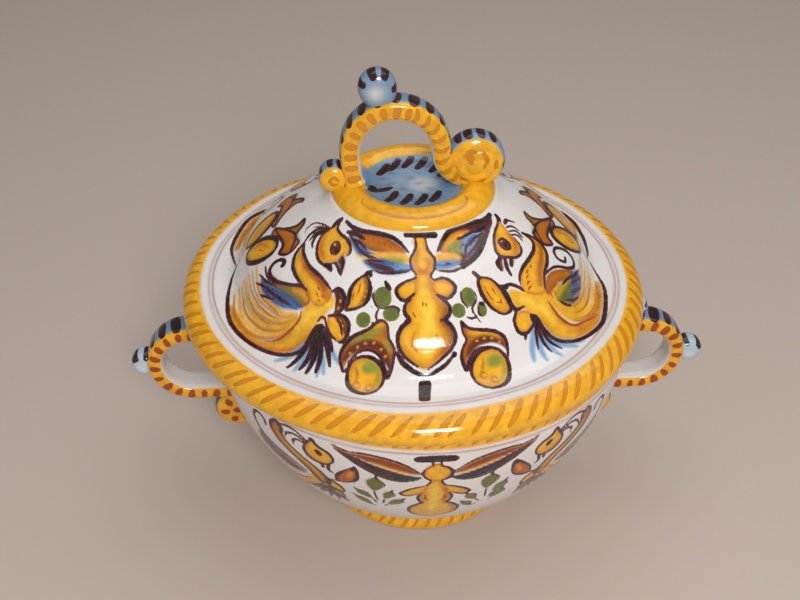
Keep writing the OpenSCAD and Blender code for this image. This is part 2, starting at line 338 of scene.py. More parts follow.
def make_piece(name, rings, painting, body, nodes, looped=False, glaze=None):
    """Puts the rings into a mesh in metres with its painting as attributes, and seats the piece on
    its body in place of its CAD nodes. Its glaze is the shared one unless another is given."""
    points = np.vstack(rings)
    faces = rings_to_faces(rings, looped)
    if volume(points, faces) < 0:
        faces = [group[:, ::-1] for group in faces]
    corners = np.concatenate([group.ravel() for group in faces])
    sizes = np.concatenate([np.full(len(group), group.shape[1]) for group in faces])
    mesh = bpy.data.meshes.new(name)
    mesh.vertices.add(len(points))
    mesh.vertices.foreach_set("co", (points * MM).astype(np.float32).ravel())
    mesh.loops.add(len(corners))
    mesh.loops.foreach_set("vertex_index", corners.astype(np.int32))
    mesh.polygons.add(len(sizes))
    mesh.polygons.foreach_set("loop_start", np.r_[0, np.cumsum(sizes)[:-1]].astype(np.int32))
    mesh.update(calc_edges=True)
    if mesh.validate():
        raise RuntimeError(f"{name} has faces that are not sound")
    mesh.polygons.foreach_set("use_smooth", np.ones(len(sizes), bool))
    wash = mesh.attributes.new("wash", "FLOAT_COLOR", "POINT")
    wash.data.foreach_set("color",
        np.hstack([painting.wash, np.ones((len(points), 1))]).astype(np.float32).ravel())
    for pigment, distance in painting.ink.items():
        layer = mesh.attributes.new(pigment, "FLOAT", "POINT")
        layer.data.foreach_set("value", distance.astype(np.float32))
    mesh.materials.append(glaze or shared_glaze("painted_tin_glaze"))
    piece = bpy.data.objects.new(name, mesh)
    link(piece)
    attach(piece, body)
    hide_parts(*nodes)
    return piece


def turned(profile, columns, centre=(0.0, 0.0)):
    """Surface of revolution about the vertical: each profile point (r, z) becomes a ring of
    (centre + r sin a, centre - r cos a, z), where a runs once round from the front. `columns` gives
    each ring's number of vertices, and a ring on the axis is a single vertex."""
    rings = []
    angles = []
    for (r, z), count in zip(profile, columns):
        a = np.arange(count) * 2 * np.pi / count
        rings.append(np.stack([centre[0] + r * np.sin(a), centre[1] - r * np.cos(a), np.full(count, z)], -1))
        angles.append(a)
    return rings, np.concatenate(angles)


def section(thick, depth):
    """Half the strap's thickness and depth as a superellipse |a|^n + |b|^n = 1, spaced evenly from
    the middle of its front face towards its outer face. Returns (outward, along Y) and the distance
    round from the front's middle, negative on the inner side, and the girth."""
    t = np.linspace(0, 2 * np.pi, 721)
    outward = thick / 2 * np.sign(np.sin(t)) * np.abs(np.sin(t)) ** (2 / STRAP_SQUARENESS)
    back = -depth / 2 * np.sign(np.cos(t)) * np.abs(np.cos(t)) ** (2 / STRAP_SQUARENESS)
    loop = np.stack([outward, back], -1)
    girth = np.hypot(*np.diff(loop, axis=0).T).sum()
    loop = resampled(loop, STRAP_COLUMNS + 1)[:-1]
    around = np.arange(STRAP_COLUMNS) * girth / STRAP_COLUMNS
    return loop, np.where(around > girth / 2, around - girth, around), girth


def pulled(path, thick, depth, flares, side=1, toe=None):
    """A strap of clay: its section is carried along a path (x, z), square to the path and outward
    on the path's left. `flares` gives the distances along the path at which it meets another
    piece; there the section spreads by a fillet that fades as exp(-distance / FILLET_FADE). Over the
    last `toe` mm its depth draws in by TOE_DRAW. Each end closes in a pole. Returns the rings, each
    vertex's distances along and around, and the girth."""
    travelled = distances_along(path)
    heading = np.gradient(path, axis=0)
    heading /= np.hypot(*heading.T)[:, None]
    outward = np.stack([-heading[:, 1], heading[:, 0]], -1)
    loop, around, girth = section(thick, depth)
    unit = loop / np.hypot(*loop.T)[:, None]
    rings = [np.array([[side * path[0, 0], 0, path[0, 1]]])]
    for i, place in enumerate(path):
        spread = sum(FILLET * math.exp(-abs(travelled[i] - flare) / FILLET_FADE) for flare in flares)
        offset = loop + unit * spread
        if toe is not None:
            offset[:, 1] *= 1 - TOE_DRAW * max(0, 1 - (travelled[-1] - travelled[i]) / toe) ** 1.5
        x = side * (place[0] + offset[:, 0] * outward[i, 0])
        z = place[1] + offset[:, 0] * outward[i, 1]
        rings.append(np.stack([x, offset[:, 1], z], -1))
    rings.append(np.array([[side * path[-1, 0], 0, path[-1, 1]]]))
    u = np.concatenate([[travelled[0]], np.repeat(travelled, STRAP_COLUMNS), [travelled[-1]]])
    v = np.concatenate([[0], np.tile(around, len(path)), [0]])
    return rings, u, v, girth


def rolled(centre, radius, depth, spiral=None, count=144, squareness=3.2, joint=None):
    """A rolled drum of clay lying along Y: rings (centre + r cos a, y, centre + r sin a) from the
    middle of its front to the middle of its back, whose r and y follow a superellipse. `spiral`
    gives the depth of a groove in both faces at each (x, z) from the centre. `joint` is the angle in
    degrees towards the strap, where r grows by up to a third, so that the drum blends into it.
    Returns the rings and each vertex's x, z, y and distance from the drum's axis."""
    t = np.radians(np.linspace(0, 180, 61))[1:-1]
    y_profile = -depth / 2 * np.sign(np.cos(t)) * np.abs(np.cos(t)) ** (2 / squareness)
    r_profile = radius * np.sin(t) ** (2 / squareness)
    profile = resampled(np.stack([r_profile, y_profile], -1), 70)
    a = np.arange(count) * 2 * np.pi / count
    pole = np.zeros(1)
    rings = []
    for r, y in np.vstack([[0, -depth / 2], profile, [0, depth / 2]]):
        angle = pole if r == 0 else a
        reach = r
        if joint is not None:
            reach = r * (1 + BLEND * np.exp(-(wrapped(angle - math.radians(joint)) / BLEND_ANGLE) ** 2))
        x = reach * np.cos(angle)
        z = reach * np.sin(angle)
        sunk = 0 * x
        if spiral is not None:
            sunk = spiral(x, z) * np.clip((abs(y) / (depth / 2) - 0.55) / 0.25, 0, 1)
        rings.append(np.stack([centre[0] + x, y - np.sign(y) * sunk, centre[1] + z], -1))
    flat = np.vstack(rings)
    x = flat[:, 0] - centre[0]
    z = flat[:, 2] - centre[1]
    return rings, x, z, flat[:, 1], np.hypot(x, z)


# ---- Glaze ----

# A colour mix: its settings and its sockets' numbers
RGBA = {"data_type": "RGBA", "output": 2}
FACTOR, FIRST, SECOND = 0, 6, 7
SMOOTH = {"interpolation_type": "SMOOTHSTEP"}


def node(tree, kind, inputs=(), output=0, **settings):
    """Adds one shader node to a tree and gives back one of its outputs. Settings are the node's own
    attributes. Inputs are values or other nodes' outputs: a list of them for the first sockets, or
    a mapping from a socket's name or number."""
    made = tree.nodes.new("ShaderNode" + kind)
    for name, value in settings.items():
        setattr(made, name, value)
    for socket, value in (inputs.items() if isinstance(inputs, dict) else enumerate(inputs)):
        if isinstance(value, bpy.types.NodeSocket):
            tree.links.new(value, made.inputs[socket])
        else:
            made.inputs[socket].default_value = value
    return made.outputs[output] if len(made.outputs) else made


# Each pigment's tone in the heart of a stroke and along its edge, in the order in which they are
# laid. Ochre runs thin and pools at the edge; the others lie thickest in the heart.
PIGMENT_TONES = {
    "ochre": ("#cd8417", "#c07810"),
    "brick": ("#9c3c14", "#b5571f"),
    "olive": ("#5d6429", "#7f8638"),
    "cobalt": ("#22406f", "#4f78ad"),
    "manganese": ("#24100f", "#5a2a34"),
}


def tin_glaze(name, bare_below=None):
    """Tin-glazed earthenware, painted in the raw glaze and fired glossy: an opaque, faintly
    uneven white, washes that pool, brush strokes with slightly ragged edges and grainy pigment, a
    few iron specks, and a gently rippled, very smooth surface. Below a height in metres the clay is
    bare, as on a foot that is wiped clean before firing."""
    glaze = bpy.data.materials.new(name)
    glaze.use_nodes = True
    tree = glaze.node_tree
    tree.nodes.clear()
    place = node(tree, "TexCoord", output="Object")
    grain = node(tree, "TexNoise", {"Vector": place, "Scale": 1 / (0.55 * MM), "Detail": 1.0})
    ragged = node(tree, "TexNoise", {"Vector": place, "Scale": 1 / (1.6 * MM), "Detail": 2.0})
    pooled = node(tree, "TexNoise", {"Vector": place, "Scale": 1 / (5 * MM), "Detail": 3.0})
    clouded = node(tree, "TexNoise", {"Vector": place, "Scale": 1 / (28 * MM), "Detail": 2.0})

    # Washes are thinner and thicker by brush loads of about 5 mm, the white hardly at all
    wash = node(tree, "Attribute", attribute_name="wash")
    strength = node(tree, "SeparateColor", [wash], output=1, mode="HSV")
    load = node(tree, "MapRange", [pooled, 0.3, 0.7, -0.11, 0.11], **SMOOTH)
    grains = node(tree, "MapRange", [grain, 0.3, 0.7, -0.05, 0.05])
    loads = node(tree, "Math", [load, grains], operation="ADD")
    value = node(tree, "Math", [loads, strength, 1.0], operation="MULTIPLY_ADD")
    surface = node(tree, "HueSaturation", {"Value": value, "Color": wash})
    warmth = node(tree, "MapRange", [clouded, 0.35, 0.7, 0.0, 0.2], **SMOOTH)
    surface = node(tree, "Mix", {FACTOR: warmth, FIRST: surface, SECOND: opaque("#efdccb")}, **RGBA,
        blend_type="MULTIPLY")

    ragged_edge = node(tree, "MapRange", [ragged, 0.2, 0.8, -0.24, 0.24])
    worn = node(tree, "MapRange", [grain, 0.56, 0.72, 1.0, 0.87], **SMOOTH)
    patchy = node(tree, "MapRange", [pooled, 0.3, 0.7, -0.3, 0.3])
    for pigment, (heart, edge) in PIGMENT_TONES.items():
        outside = node(tree, "Attribute", output="Fac", attribute_name=pigment)
        border = node(tree, "Math", [outside, ragged_edge], operation="ADD")
        cover = node(tree, "MapRange", [border, -0.15, 0.15, 1.0, 0.0], **SMOOTH)
        cover = node(tree, "Math", [cover, worn], operation="MULTIPLY")
        rim = node(tree, "MapRange", [outside, -0.8, -0.15, 0.1, 0.85], **SMOOTH)
        share = node(tree, "Math", [rim, patchy], operation="ADD", use_clamp=True)
        paint = node(tree, "Mix", {FACTOR: share, FIRST: opaque(heart), SECOND: opaque(edge)}, **RGBA)
        surface = node(tree, "Mix", {FACTOR: cover, FIRST: surface, SECOND: paint}, **RGBA)

    # Iron specks 0.7 mm across, in about four cells of ten, 13 mm apart
    cell = node(tree, "TexVoronoi", {"Vector": place, "Scale": 1 / (13 * MM)}, output="Color")
    distance = node(tree, "TexVoronoi", {"Vector": place, "Scale": 1 / (13 * MM)}, output="Distance")
    chance = node(tree, "SeparateColor", [cell])
    picked = node(tree, "MapRange", [chance, 0.6, 0.62, 0.0, 0.028])
    speck = node(tree, "Math", [distance, picked], operation="LESS_THAN")
    surface = node(tree, "Mix", {FACTOR: speck, FIRST: surface, SECOND: opaque("#5c4636")}, **RGBA)

    waves = node(tree, "TexNoise", {"Vector": place, "Scale": 1 / (9 * MM), "Detail": 2.0})
    ripple = node(tree, "Math", [ragged, 0.09, waves], operation="MULTIPLY_ADD")
    bump = node(tree, "Bump", {"Strength": 0.2, "Distance": 0.0012, "Height": ripple})
    sheen = node(tree, "MapRange", [pooled, 0.2, 0.8, 0.07, 0.14])
    shader = node(tree, "BsdfPrincipled",
        {"Base Color": surface, "Roughness": sheen, "IOR": 1.52, "Normal": bump})
    if bare_below is not None:
        clay = node(tree, "Mix",
            {FACTOR: grain, FIRST: opaque("#b98a68"), SECOND: opaque("#d2ab88")}, **RGBA)
        biscuit = node(tree, "BsdfPrincipled", {"Base Color": clay, "Roughness": 0.85})
        height = node(tree, "SeparateXYZ", [place], output=2)
        wiped = node(tree, "MapRange", [height, bare_below, bare_below + 0.0004])
        shader = node(tree, "MixShader", [wiped, biscuit, shader])
    node(tree, "OutputMaterial", [shader])
    return glaze


def shared_glaze(name, **options):
    """The glaze of that name, mixed the first time that it is asked for."""
    return bpy.data.materials.get(name) or tin_glaze(name, **options)


# ---- Brushwork that repeats ----

def rope(painting, pigment, u, v, girth, count, low, high, width, slant, seed):
    """Slanted strokes side by side round a band, from v = low to high. Stroke k lies along
    u = (k + 1/2) girth / count + slant (v - middle), with a small random shift, width and length,
    and its half width follows a half ellipse along its length."""
    rng = np.random.default_rng(seed)
    shift, fatness, reach = rng.normal(0, 1, (3, count))
    pitch = girth / count
    middle = (low + high) / 2
    place = (u - slant * (v - middle)) / pitch
    k = np.floor(place).astype(int) % count
    across = (place - np.floor(place) - 0.5 - 0.07 * shift[k]) * pitch / np.sqrt(1 + slant ** 2)
    half_length = (high - low) / 2 * (1 + 0.06 * reach[k])
    along = np.clip(np.abs(v - middle) / half_length, 0, 1)
    beyond = np.maximum(np.abs(v - middle) - half_length, 0)
    half_width = width / 2 * (1 + 0.12 * fatness[k]) * np.sqrt(1 - along ** 2.6)
    painting.draw(np.arange(u.size), pigment, np.hypot(across, beyond) - half_width + 0.3 * (along >= 1))


def dashes(painting, pigment, places, across, width, seed, ends=0.8, lean=0.0):
    """A row of short strokes across a strap, at the given distances along it, each from one
    distance around it to another."""
    rng = np.random.default_rng(seed)
    for u in places:
        start, end = np.array(across) + rng.normal(0, 0.35, 2)
        tip = u + lean + rng.normal(0, 0.3)
        painting.stroke(pigment, width * (1 + rng.normal(0, 0.09)), [(u, start), (tip, end)], ends)


# ---- Sizes ----

def length(name, description, millimetres):
    """A length that the user can change, stored in metres."""
    return bpy.props.FloatProperty(
        name=name, description=description, default=millimetres * MM, min=0.0, precision=4,
        subtype="DISTANCE", unit="LENGTH",
    )


def millimetres(settings):
    """All lengths of a property group in millimetres, by name."""
    return {key: getattr(settings, key) / MM for key in settings.__annotations__}


def box_mm(name):
    """A CAD node's lowest and highest corner in millimetres."""
    low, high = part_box(name)
    return np.array(low) / MM, np.array(high) / MM


BOWL_LOW, BOWL_HIGH = box_mm("bowl")
FOOT_LOW, FOOT_HIGH = box_mm("foot_ring")
LID_LOW, LID_HIGH = box_mm("lid")
COLLAR_LOW, COLLAR_HIGH = box_mm("lid_collar")
LID_AXIS = (LID_LOW[0] + LID_HIGH[0]) / 2
SEAT_Z = BOWL_HIGH[2] + 0.3


class TureenPotSizes(bpy.types.PropertyGroup):
    mouth: length("Mouth", "Outer diameter of the bowl at its mouth", BOWL_HIGH[1] - BOWL_LOW[1])
    base: length("Base", "Diameter of the flat base that the wall springs from", 116)
    wall: length("Wall", "Thickness of the bowl's wall and floor", 7)
    rim_round: length("Rim rounding", "Rounding of the rim's two edges", 2.4)
    foot: length("Foot", "Diameter of the foot ring where it rests", FOOT_HIGH[1] - FOOT_LOW[1])
    waist: length("Waist", "Diameter of the foot ring at its waist", 118)
    tread: length("Tread", "Width of the face that the foot rests on", 10)
    bend: length("Handle bend", "Radius of the side handle's bend", 22)
    reach: length("Handle reach", "Distance from the bowl's axis to the centre of the bend", 135)
    strap_thick: length("Strap thickness", "Thickness of the side handle's strap", 9.8)
    strap_deep: length("Strap depth", "Depth of the side handle's strap", 18)
    knob: length("Knob", "Radius of the side handle's knob", 8.7)
    upper_curl: length("Upper curl", "Radius of the side handle's upper curl", 8.4)
    lower_curl: length("Lower curl", "Radius of the side handle's lower curl", 14.5)
    roll_deep: length("Roll depth", "Depth of the knobs and small curls", 14)
    press: length("Press", "How deep a knob or curl is pressed into its strap", 3)


class TureenLidSizes(bpy.types.PropertyGroup):
    lid: length("Lid", "Diameter of the lid at its rolled edge", LID_HIGH[1] - LID_LOW[1])
    edge_drop: length("Edge drop", "Drop of the rolled edge below its widest line", 6)
    edge_rise: length("Edge rise", "Rise of the rolled edge above its widest line", 9)
    edge_wide: length("Edge width", "Width of the rolled edge's rounded top", 11)
    dome_foot: length("Dome foot", "Radius where the flange turns up into the dome", 108)
    dome_rise: length("Dome rise", "Height of the dome's top above the widest line", 62)
    wall: length("Wall", "Thickness of the lid", 6)
    ring: length("Locating ring", "Outer radius of the locating ring", 109)
    ring_deep: length("Ring depth", "Depth of the locating ring below the seat", 9)
    collar: length("Collar", "Outer diameter of the dished collar", COLLAR_HIGH[0] - COLLAR_LOW[0] - 3.2)
    crest: length("Crest", "Radius of the collar's crest", 32)
    dish: length("Dish", "Depth of the dish inside the crest", 3.6)
    arch: length("Arch", "Radius of the lid handle's arch", 23.9)
    arch_thick: length("Arch thickness", "Thickness of the lid handle's strap", 10.8)
    arch_deep: length("Arch depth", "Depth of the lid handle's strap", 16)
    leg_curve: length("Leg curve", "Radius of the left leg's slow curve", 56)
    toe_curve: length("Toe curve", "Radius by which the right leg turns out", 18)
    scroll: length("Scroll", "Radius of the large scroll", 16)
    scroll_deep: length("Scroll depth", "Depth of the large scroll", 17)
    knob: length("Knob", "Radius of the knob on top of the arch", 9.8)
    small_curl: length("Small curl", "Radius of the small curl at the left leg's foot", 8.2)
    roll_deep: length("Roll depth", "Depth of the knob and the small curl", 14)


ARCH_OFFSET = -9.6
ARCH_RISE = 23.8
ARCH_KNOB_ANGLE = 104.4
TOE_SWEEP = 68
VOLUTE_R = 11.0
VOLUTE_STEP = 2.6
VOLUTE_HALF_TURNS = 4
VOLUTE_CUT = 0.65
WALL_UPRIGHT = 1.8
WALL_TURN = 1.5
KNOB_DRAWN_IN = {"left": 4.0, "right": 1.4}
DISH_R = 27.5

# Vertices round a ring: painted, unpainted, and on the foot and the collar
FINE = 720
COARSE = 180
ROUND = 480

# The bowl's sheet in mm per radian, the radius of its border, and how far round each sheet reaches
WALL_SHEET = 110
BORDER_R = 121
SHEET_HALF_ANGLE = {"lid": math.radians(122), "bowl": math.radians(110)}


# ---- Bowl and foot ----

def wall_curve(base_r, mouth_r, base_z, mouth_z, count):
    """A wall from a level base to an upright mouth: radius and height follow a superellipse."""
    a = np.radians(np.linspace(0, 90, 400))
    r = base_r + (mouth_r - base_r) * np.sin(a) ** (2 / WALL_TURN)
    z = base_z + (mouth_z - base_z) * (1 - np.cos(a) ** (2 / WALL_UPRIGHT))
    return resampled(np.stack([r, z], -1), count)


def wall_radius(s, z):
    """Outer radius of the bowl's wall at a height."""
    t = (BOWL_HIGH[2] - z) / (BOWL_HIGH[2] - BOWL_LOW[2])
    mouth_r = s["mouth"] / 2
    base_r = s["base"] / 2
    return base_r + (mouth_r - base_r) * (1 - t ** WALL_UPRIGHT) ** (1 / WALL_TURN)


def build_bowl(s):
    """The thrown bowl: floor, inner wall, rounded rim and painted outer wall in one closed skin.
    The painter's sheet has WALL_SHEET mm for each radian, and its v runs down from the rim."""
    rim = s["rim_round"]
    mouth_r = s["mouth"] / 2
    mouth_z = BOWL_HIGH[2] - rim
    base_z = BOWL_LOW[2]
    floor_z = base_z + s["wall"]
    inner = wall_curve(s["base"] / 2 - s["wall"], mouth_r - s["wall"], floor_z, mouth_z, 28)
    outer = wall_curve(s["base"] / 2, mouth_r, base_z, mouth_z, 121)[::-1]
    inner_lip = arc((mouth_r - s["wall"] + rim, mouth_z), rim, rim, 180, 90, 4)[1:]
    outer_lip = arc((mouth_r - rim, mouth_z), rim, rim, 90, 0, 5)[:-1]
    profile = np.vstack([
        [[0, floor_z], [24, floor_z]], inner, inner_lip, outer_lip, outer,
        [[40, base_z], [20, base_z], [0, base_z]],
    ])
    coarse = 2 + len(inner) + len(inner_lip)
    columns = [1] + [COARSE] * (coarse - 1) + [FINE] * (len(outer_lip) + len(outer)) + [COARSE] * 2 + [1]
    rings, angle = turned(profile, columns)
    down = distances_along(profile[coarse:])
    drop = np.r_[np.full(coarse, -100.0), down]
    v = np.repeat(drop, columns)
    painting = Painting(angle, v, "white")
    paint_bowl(painting, angle, v)
    return make_piece("bowl_painted", rings, painting, "pot", ["bowl"])


def build_foot(s):
    """The turned foot ring, flared to the table with a soft edge and bare clay where it rests."""
    foot_r = s["foot"] / 2
    waist_r = s["waist"] / 2
    inner_r = foot_r - s["tread"]
    top_z = BOWL_LOW[2] + 1.2
    flare = spline([(foot_r, 2.2), (foot_r - 0.3, 4.5), (waist_r + 1.2, 9.5), (waist_r, 13.5),
        (waist_r - 0.3, top_z)], 6)
    profile = np.vstack([
        arc((foot_r - 2.2, 2.2), 2.2, 2.2, -90, 0, 6), flare,
        [[waist_r - 4, top_z + 0.2], [inner_r - 3.5, top_z + 0.2]],
        spline([(inner_r - 4.5, top_z - 1), (inner_r - 3, 9), (inner_r - 0.6, 4), (inner_r, 2)], 4),
        arc((inner_r + 2, 2), 2, 2, 180, 270, 5),
    ])
    rings, angle = turned(profile, [ROUND] * len(profile))
    z = np.repeat(profile[:, 1], ROUND)
    r = np.repeat(profile[:, 0], ROUND)
    painting = Painting(angle * foot_r, z, "white")
    outside = r > inner_r + 3
    painting.zone(outside, "yellow")
    rope(painting, "ochre", np.where(outside, angle * foot_r, OFF_SHEET), z, 2 * np.pi * foot_r,
        count=54, low=2.0, high=14.0, width=2.1, slant=0.6, seed=5)
    painting.ink["ochre"][~outside] = INK_REACH
    glaze = shared_glaze("painted_tin_glaze_wiped_foot", bare_below=1.1 * MM)
    return make_piece("foot_painted", rings, painting, "pot", ["foot_ring"], True, glaze)


# ---- Side handles ----

def faces_of_strap(painting, v, girth, front_half, inner_colour):
    """Yellow front and back, blue outer face and pale inner face, with a green fringe where the
    blue has run into the yellow."""
    from_front = np.abs(v)
    from_back = girth / 2 - from_front
    nearest = np.minimum(from_front, from_back)
    painting.zone((nearest - front_half + 1.6) / 0.8 + 0.5, inner_colour)
    painting.zone(((front_half - nearest) / 0.8 + 0.5) * (v > 0), "yellow")
    painting.zone(((nearest - front_half) / 0.8 + 0.5) * (v > 0), "blue")
    painting.zone(np.exp(-((nearest - front_half) / 0.7) ** 2) * 0.55 * (v > 0), "leaf")


def build_side_strap(s, name, side, centre_z):
    """A strap pulled from the wall, round the bend and back to the wall."""
    high_z = centre_z + s["bend"]
    low_z = centre_z - s["bend"]
    start = wall_radius(s, high_z) - 3
    end = wall_radius(s, low_z) - 5
    bend = arc((s["reach"], centre_z), s["bend"], s["bend"], 90, -90, 60)
    path = np.vstack([[[start, high_z]], bend, [[end, low_z]]])
    travelled = np.hypot(*np.diff(path, axis=0).T).sum()
    path = resampled(path, 200)
    rings, u, v, girth = pulled(path, s["strap_thick"], s["strap_deep"], (3, travelled - 6), side)
    painting = Painting(u, v, "yellow")
    front_half = s["strap_thick"] / 2 + 0.6
    faces_of_strap(painting, v, girth, front_half, "white")
    spots = np.arange(9, travelled - 8, 7.6)
    back = np.where(v > 0, v - girth / 2, v + girth / 2)
    for sheet_v, seed in ((v, 11), (back, 12)):
        painting.place(u, sheet_v)
        dashes(painting, "brick", spots, (-1.6, 1.9), width=4.3, seed=seed + side, lean=0.5 * side)
    painting.place(u, v - girth / 4)
    dashes(painting, "manganese", np.arange(8, travelled * 0.62, 7.8), (-6.2, 5.8),
        width=5.5, seed=21 + side, ends=0.75, lean=1.8)
    strap = f"{name}_handle_strap"
    return make_piece(f"{name}_strap_painted", rings, painting, "pot", [strap])


def rim_dashes(painting, x, z, y, radius, angles, front_end, half_depth, width, seed):
    """Short dark strokes across the rim of a roll, at angles in degrees from outward."""
    r = np.hypot(x, z)
    along = np.sign(y) * (np.abs(y) + np.maximum(radius - r, 0))
    turn = np.degrees(np.arctan2(z, x)) % 360
    rng = np.random.default_rng(seed)
    for angle in angles:
        off = (turn - angle - rng.normal(0, 2) + 180) % 360 - 180
        painting.place(np.where(r > radius * 0.35, np.radians(off) * r, OFF_SHEET), along)
        low, high = front_end + rng.normal(0, 0.4), half_depth + rng.normal(0, 0.4)
        width_here = width * (1 + rng.normal(0, 0.1))
        painting.outline(width_here, [(0, low), (0.4, 0), (0, high)], ends=(0.8, 0.75))


def build_roll(name, centre, radius, depth, front, rim, dashed, piece_of, slot, spots=None,
        dash=(-5.2, 5.2, 3.0), **shape):
    """A rolled knob or curl: its front and back in one colour, its rim in another, dark dashes
    round the rim at the given angles, and on the faces spots of a pigment, a width and a list of
    strokes."""
    rings, x, z, y, r = rolled(centre, radius, depth, **shape)
    painting = Painting(x, z, rim[0])
    facing = np.abs(y) / (depth / 2)
    turn = np.degrees(np.arctan2(z, x)) % 360
    if rim[1] is not None:
        low, high, other = rim[1]
        off = np.abs((turn - (low + high) / 2 + 180) % 360 - 180) - (high - low) / 2
        painting.zone(0.5 - off / 12, other)
    face = (0.90 - r / radius) / 0.07 + (facing > 0.5) - 0.5
    painting.zone(np.clip(face, 0, 1) * (facing > 0.6), front)
    if rim[1] is None:
        # A painted highlight: a soft white patch on both faces, just off the middle of the roll
        painted_highlight = np.exp(-((x + 1) ** 2 + (z + 1) ** 2) / (0.45 * radius) ** 2)
        painting.zone(0.7 * painted_highlight * (facing > 0.6), "white")
    if spots is not None:
        pigment, width, strokes = spots
        painting.place(np.where(facing > 0.6, x, OFF_SHEET), z)
        for stroke in strokes:
            painting.stroke(pigment, width, stroke, (0.7, 0.6))
    rim_dashes(painting, x, z, y, radius, dashed, *dash, len(name) * 7)
    body, nodes = piece_of
    return make_piece(name, rings, painting, body, nodes)


def build_side_handle(s, name, side):
    """One side handle: strap, knob on the bend, curl at the rim and large curl below."""
    low, high = box_mm(f"{name}_handle_strap")
    centre_z = (low[2] + high[2]) / 2
    build_side_strap(s, name, side, centre_z)
    half_thick = s["strap_thick"] / 2

    def outward(degrees):
        return [angle if side > 0 else 180 - angle for angle in degrees]

    knob_x = s["reach"] + s["bend"] + half_thick + s["knob"] - s["press"] - KNOB_DRAWN_IN[name]
    build_roll(f"{name}_knob_painted", (side * knob_x, centre_z - 1.0), s["knob"] - 0.8, s["roll_deep"],
        "pale_blue", ("pale_blue", None), outward((36, 52, 112)), ("pot", [f"{name}_handle_knob"]),
        "blue_glaze", dash=(-7.4, 7.4, 4.4), squareness=2.9, joint=90 + 90 * side)
    upper_z = centre_z + s["bend"] + half_thick + s["upper_curl"] - s["press"] / 2
    upper_x = s["mouth"] / 2 + s["upper_curl"] - s["press"]
    build_roll(
        f"{name}_upper_curl_painted", (side * upper_x, upper_z), s["upper_curl"], s["roll_deep"],
        "pale_blue", ("pale_blue", None), outward((20, 62, 104, -22)), ("pot", [f"{name}_handle_upper_curl"]),
        "blue_glaze", dash=(-7.4, 7.4, 4.0),
    )
    lower_z = centre_z - s["bend"] - half_thick - s["lower_curl"] + s["press"]
    lower_x = wall_radius(s, lower_z) + s["lower_curl"]
    ring = [(9.2 * math.cos(a), 9.2 * math.sin(a)) for a in np.radians(np.arange(10, 360, 60))]
    spots = [[(x, z), (x * 0.7, z * 0.7)] for x, z in ring] + [[(-1.6, 0), (1.8, 0.6)]]
    build_roll(
        f"{name}_lower_curl_painted", (side * lower_x, lower_z), s["lower_curl"], s["roll_deep"],
        "yellow", ("yellow", (-60, 125, "teal") if side > 0 else (55, 240, "teal")), [],
        ("pot", [f"{name}_handle_lower_curl"]), "yellow_glaze", spots=("brick", 4.6, spots),
    )


# ---- Lid ----

# Half profile of the dome as shares of its run, from its foot to its top, and of its rise
DOME = ((0, 0), (0.07, 0.02), (0.14, 0.08), (0.195, 0.2), (0.26, 0.345),
        (0.39, 0.5), (0.58, 0.67), (0.775, 0.815), (0.92, 0.92), (1, 1))


def dome_curve(s, count):
    """The dome's outer profile from its top to its foot."""
    foot_z = SEAT_Z + s["edge_drop"] + s["edge_rise"]
    top_z = SEAT_Z + s["edge_drop"] + s["dome_rise"]
    top_r = s["collar"] / 2 + 1
    shares = spline(DOME, 12)[::-1]
    r = s["dome_foot"] + (top_r - s["dome_foot"]) * shares[:, 0]
    z = foot_z + (top_z - foot_z) * shares[:, 1]
    return resampled(np.stack([r, z], -1), count)


# The lid's cone of paper: a sheet distance of ARC_START at the dome's top, and an angle on the
# sheet of CONE times the angle round the lid
CONE = 0.79
ARC_START = 58.9


def build_lid(s):
    """The thrown lid in one closed skin: dome, flange and rolled edge, seat, locating ring and
    inner wall. Its outside is painted on the sheet that its dome unrolls to."""
    wide_z = SEAT_Z + s["edge_drop"]
    lid_r = s["lid"] / 2
    flange_r = lid_r - s["edge_wide"]
    low_r = lid_r - s["edge_drop"]
    ring_in = s["ring"] - s["wall"]
    low_z = SEAT_Z - s["ring_deep"]
    dome = dome_curve(s, 96)
    top_z = dome[0, 1]
    outside = np.vstack([
        dome,
        [[r, wide_z + s["edge_rise"]] for r in np.linspace(s["dome_foot"], flange_r, 13)[1:]],
        arc((flange_r, wide_z), s["edge_wide"], s["edge_rise"], 90, 0, 14)[1:],
        arc((low_r, wide_z), s["edge_drop"], s["edge_drop"], 0, -90, 7)[1:],
    ])
    step = np.gradient(dome, axis=0)
    inward = np.stack([-step[:, 1], step[:, 0]], -1) / np.hypot(*step.T)[:, None]
    inner = dome - inward * s["wall"] * np.sign(inward[40, 1])
    inner = inner[inner[:, 0] < ring_in - 1][::-4]
    lip = 2.4
    underside = np.vstack([
        [[s["ring"], SEAT_Z], [s["ring"], low_z + lip]],
        arc((s["ring"] - lip, low_z + lip), lip, lip, 0, -90, 5)[1:],
        arc((ring_in + lip, low_z + lip), lip, lip, -90, -180, 5),
        [[ring_in, SEAT_Z]], inner, [[20, top_z - s["wall"]], [0, top_z - s["wall"]]],
    ])
    profile = np.vstack([[[0, top_z], [22, top_z], [44, top_z]], outside, underside])
    columns = [1, COARSE, COARSE] + [FINE] * len(outside) + [COARSE] * (len(underside) - 1) + [1]
    rings, angle = turned(profile, columns, (LID_AXIS, 0))
    travelled = distances_along(outside)
    sheet = np.r_[np.full(3, -OFF_SHEET), ARC_START + travelled, np.full(len(underside), -OFF_SHEET)]
    distance = np.repeat(sheet, columns)
    painting = Painting(angle, distance, "white")
    edge_start = ARC_START + travelled[np.argmax(outside[:, 0] >= flange_r - 0.01)]
    paint_lid(painting, angle, distance, edge_start, lid_r)
    return make_piece("lid_painted", rings, painting, "lid", ["lid"])


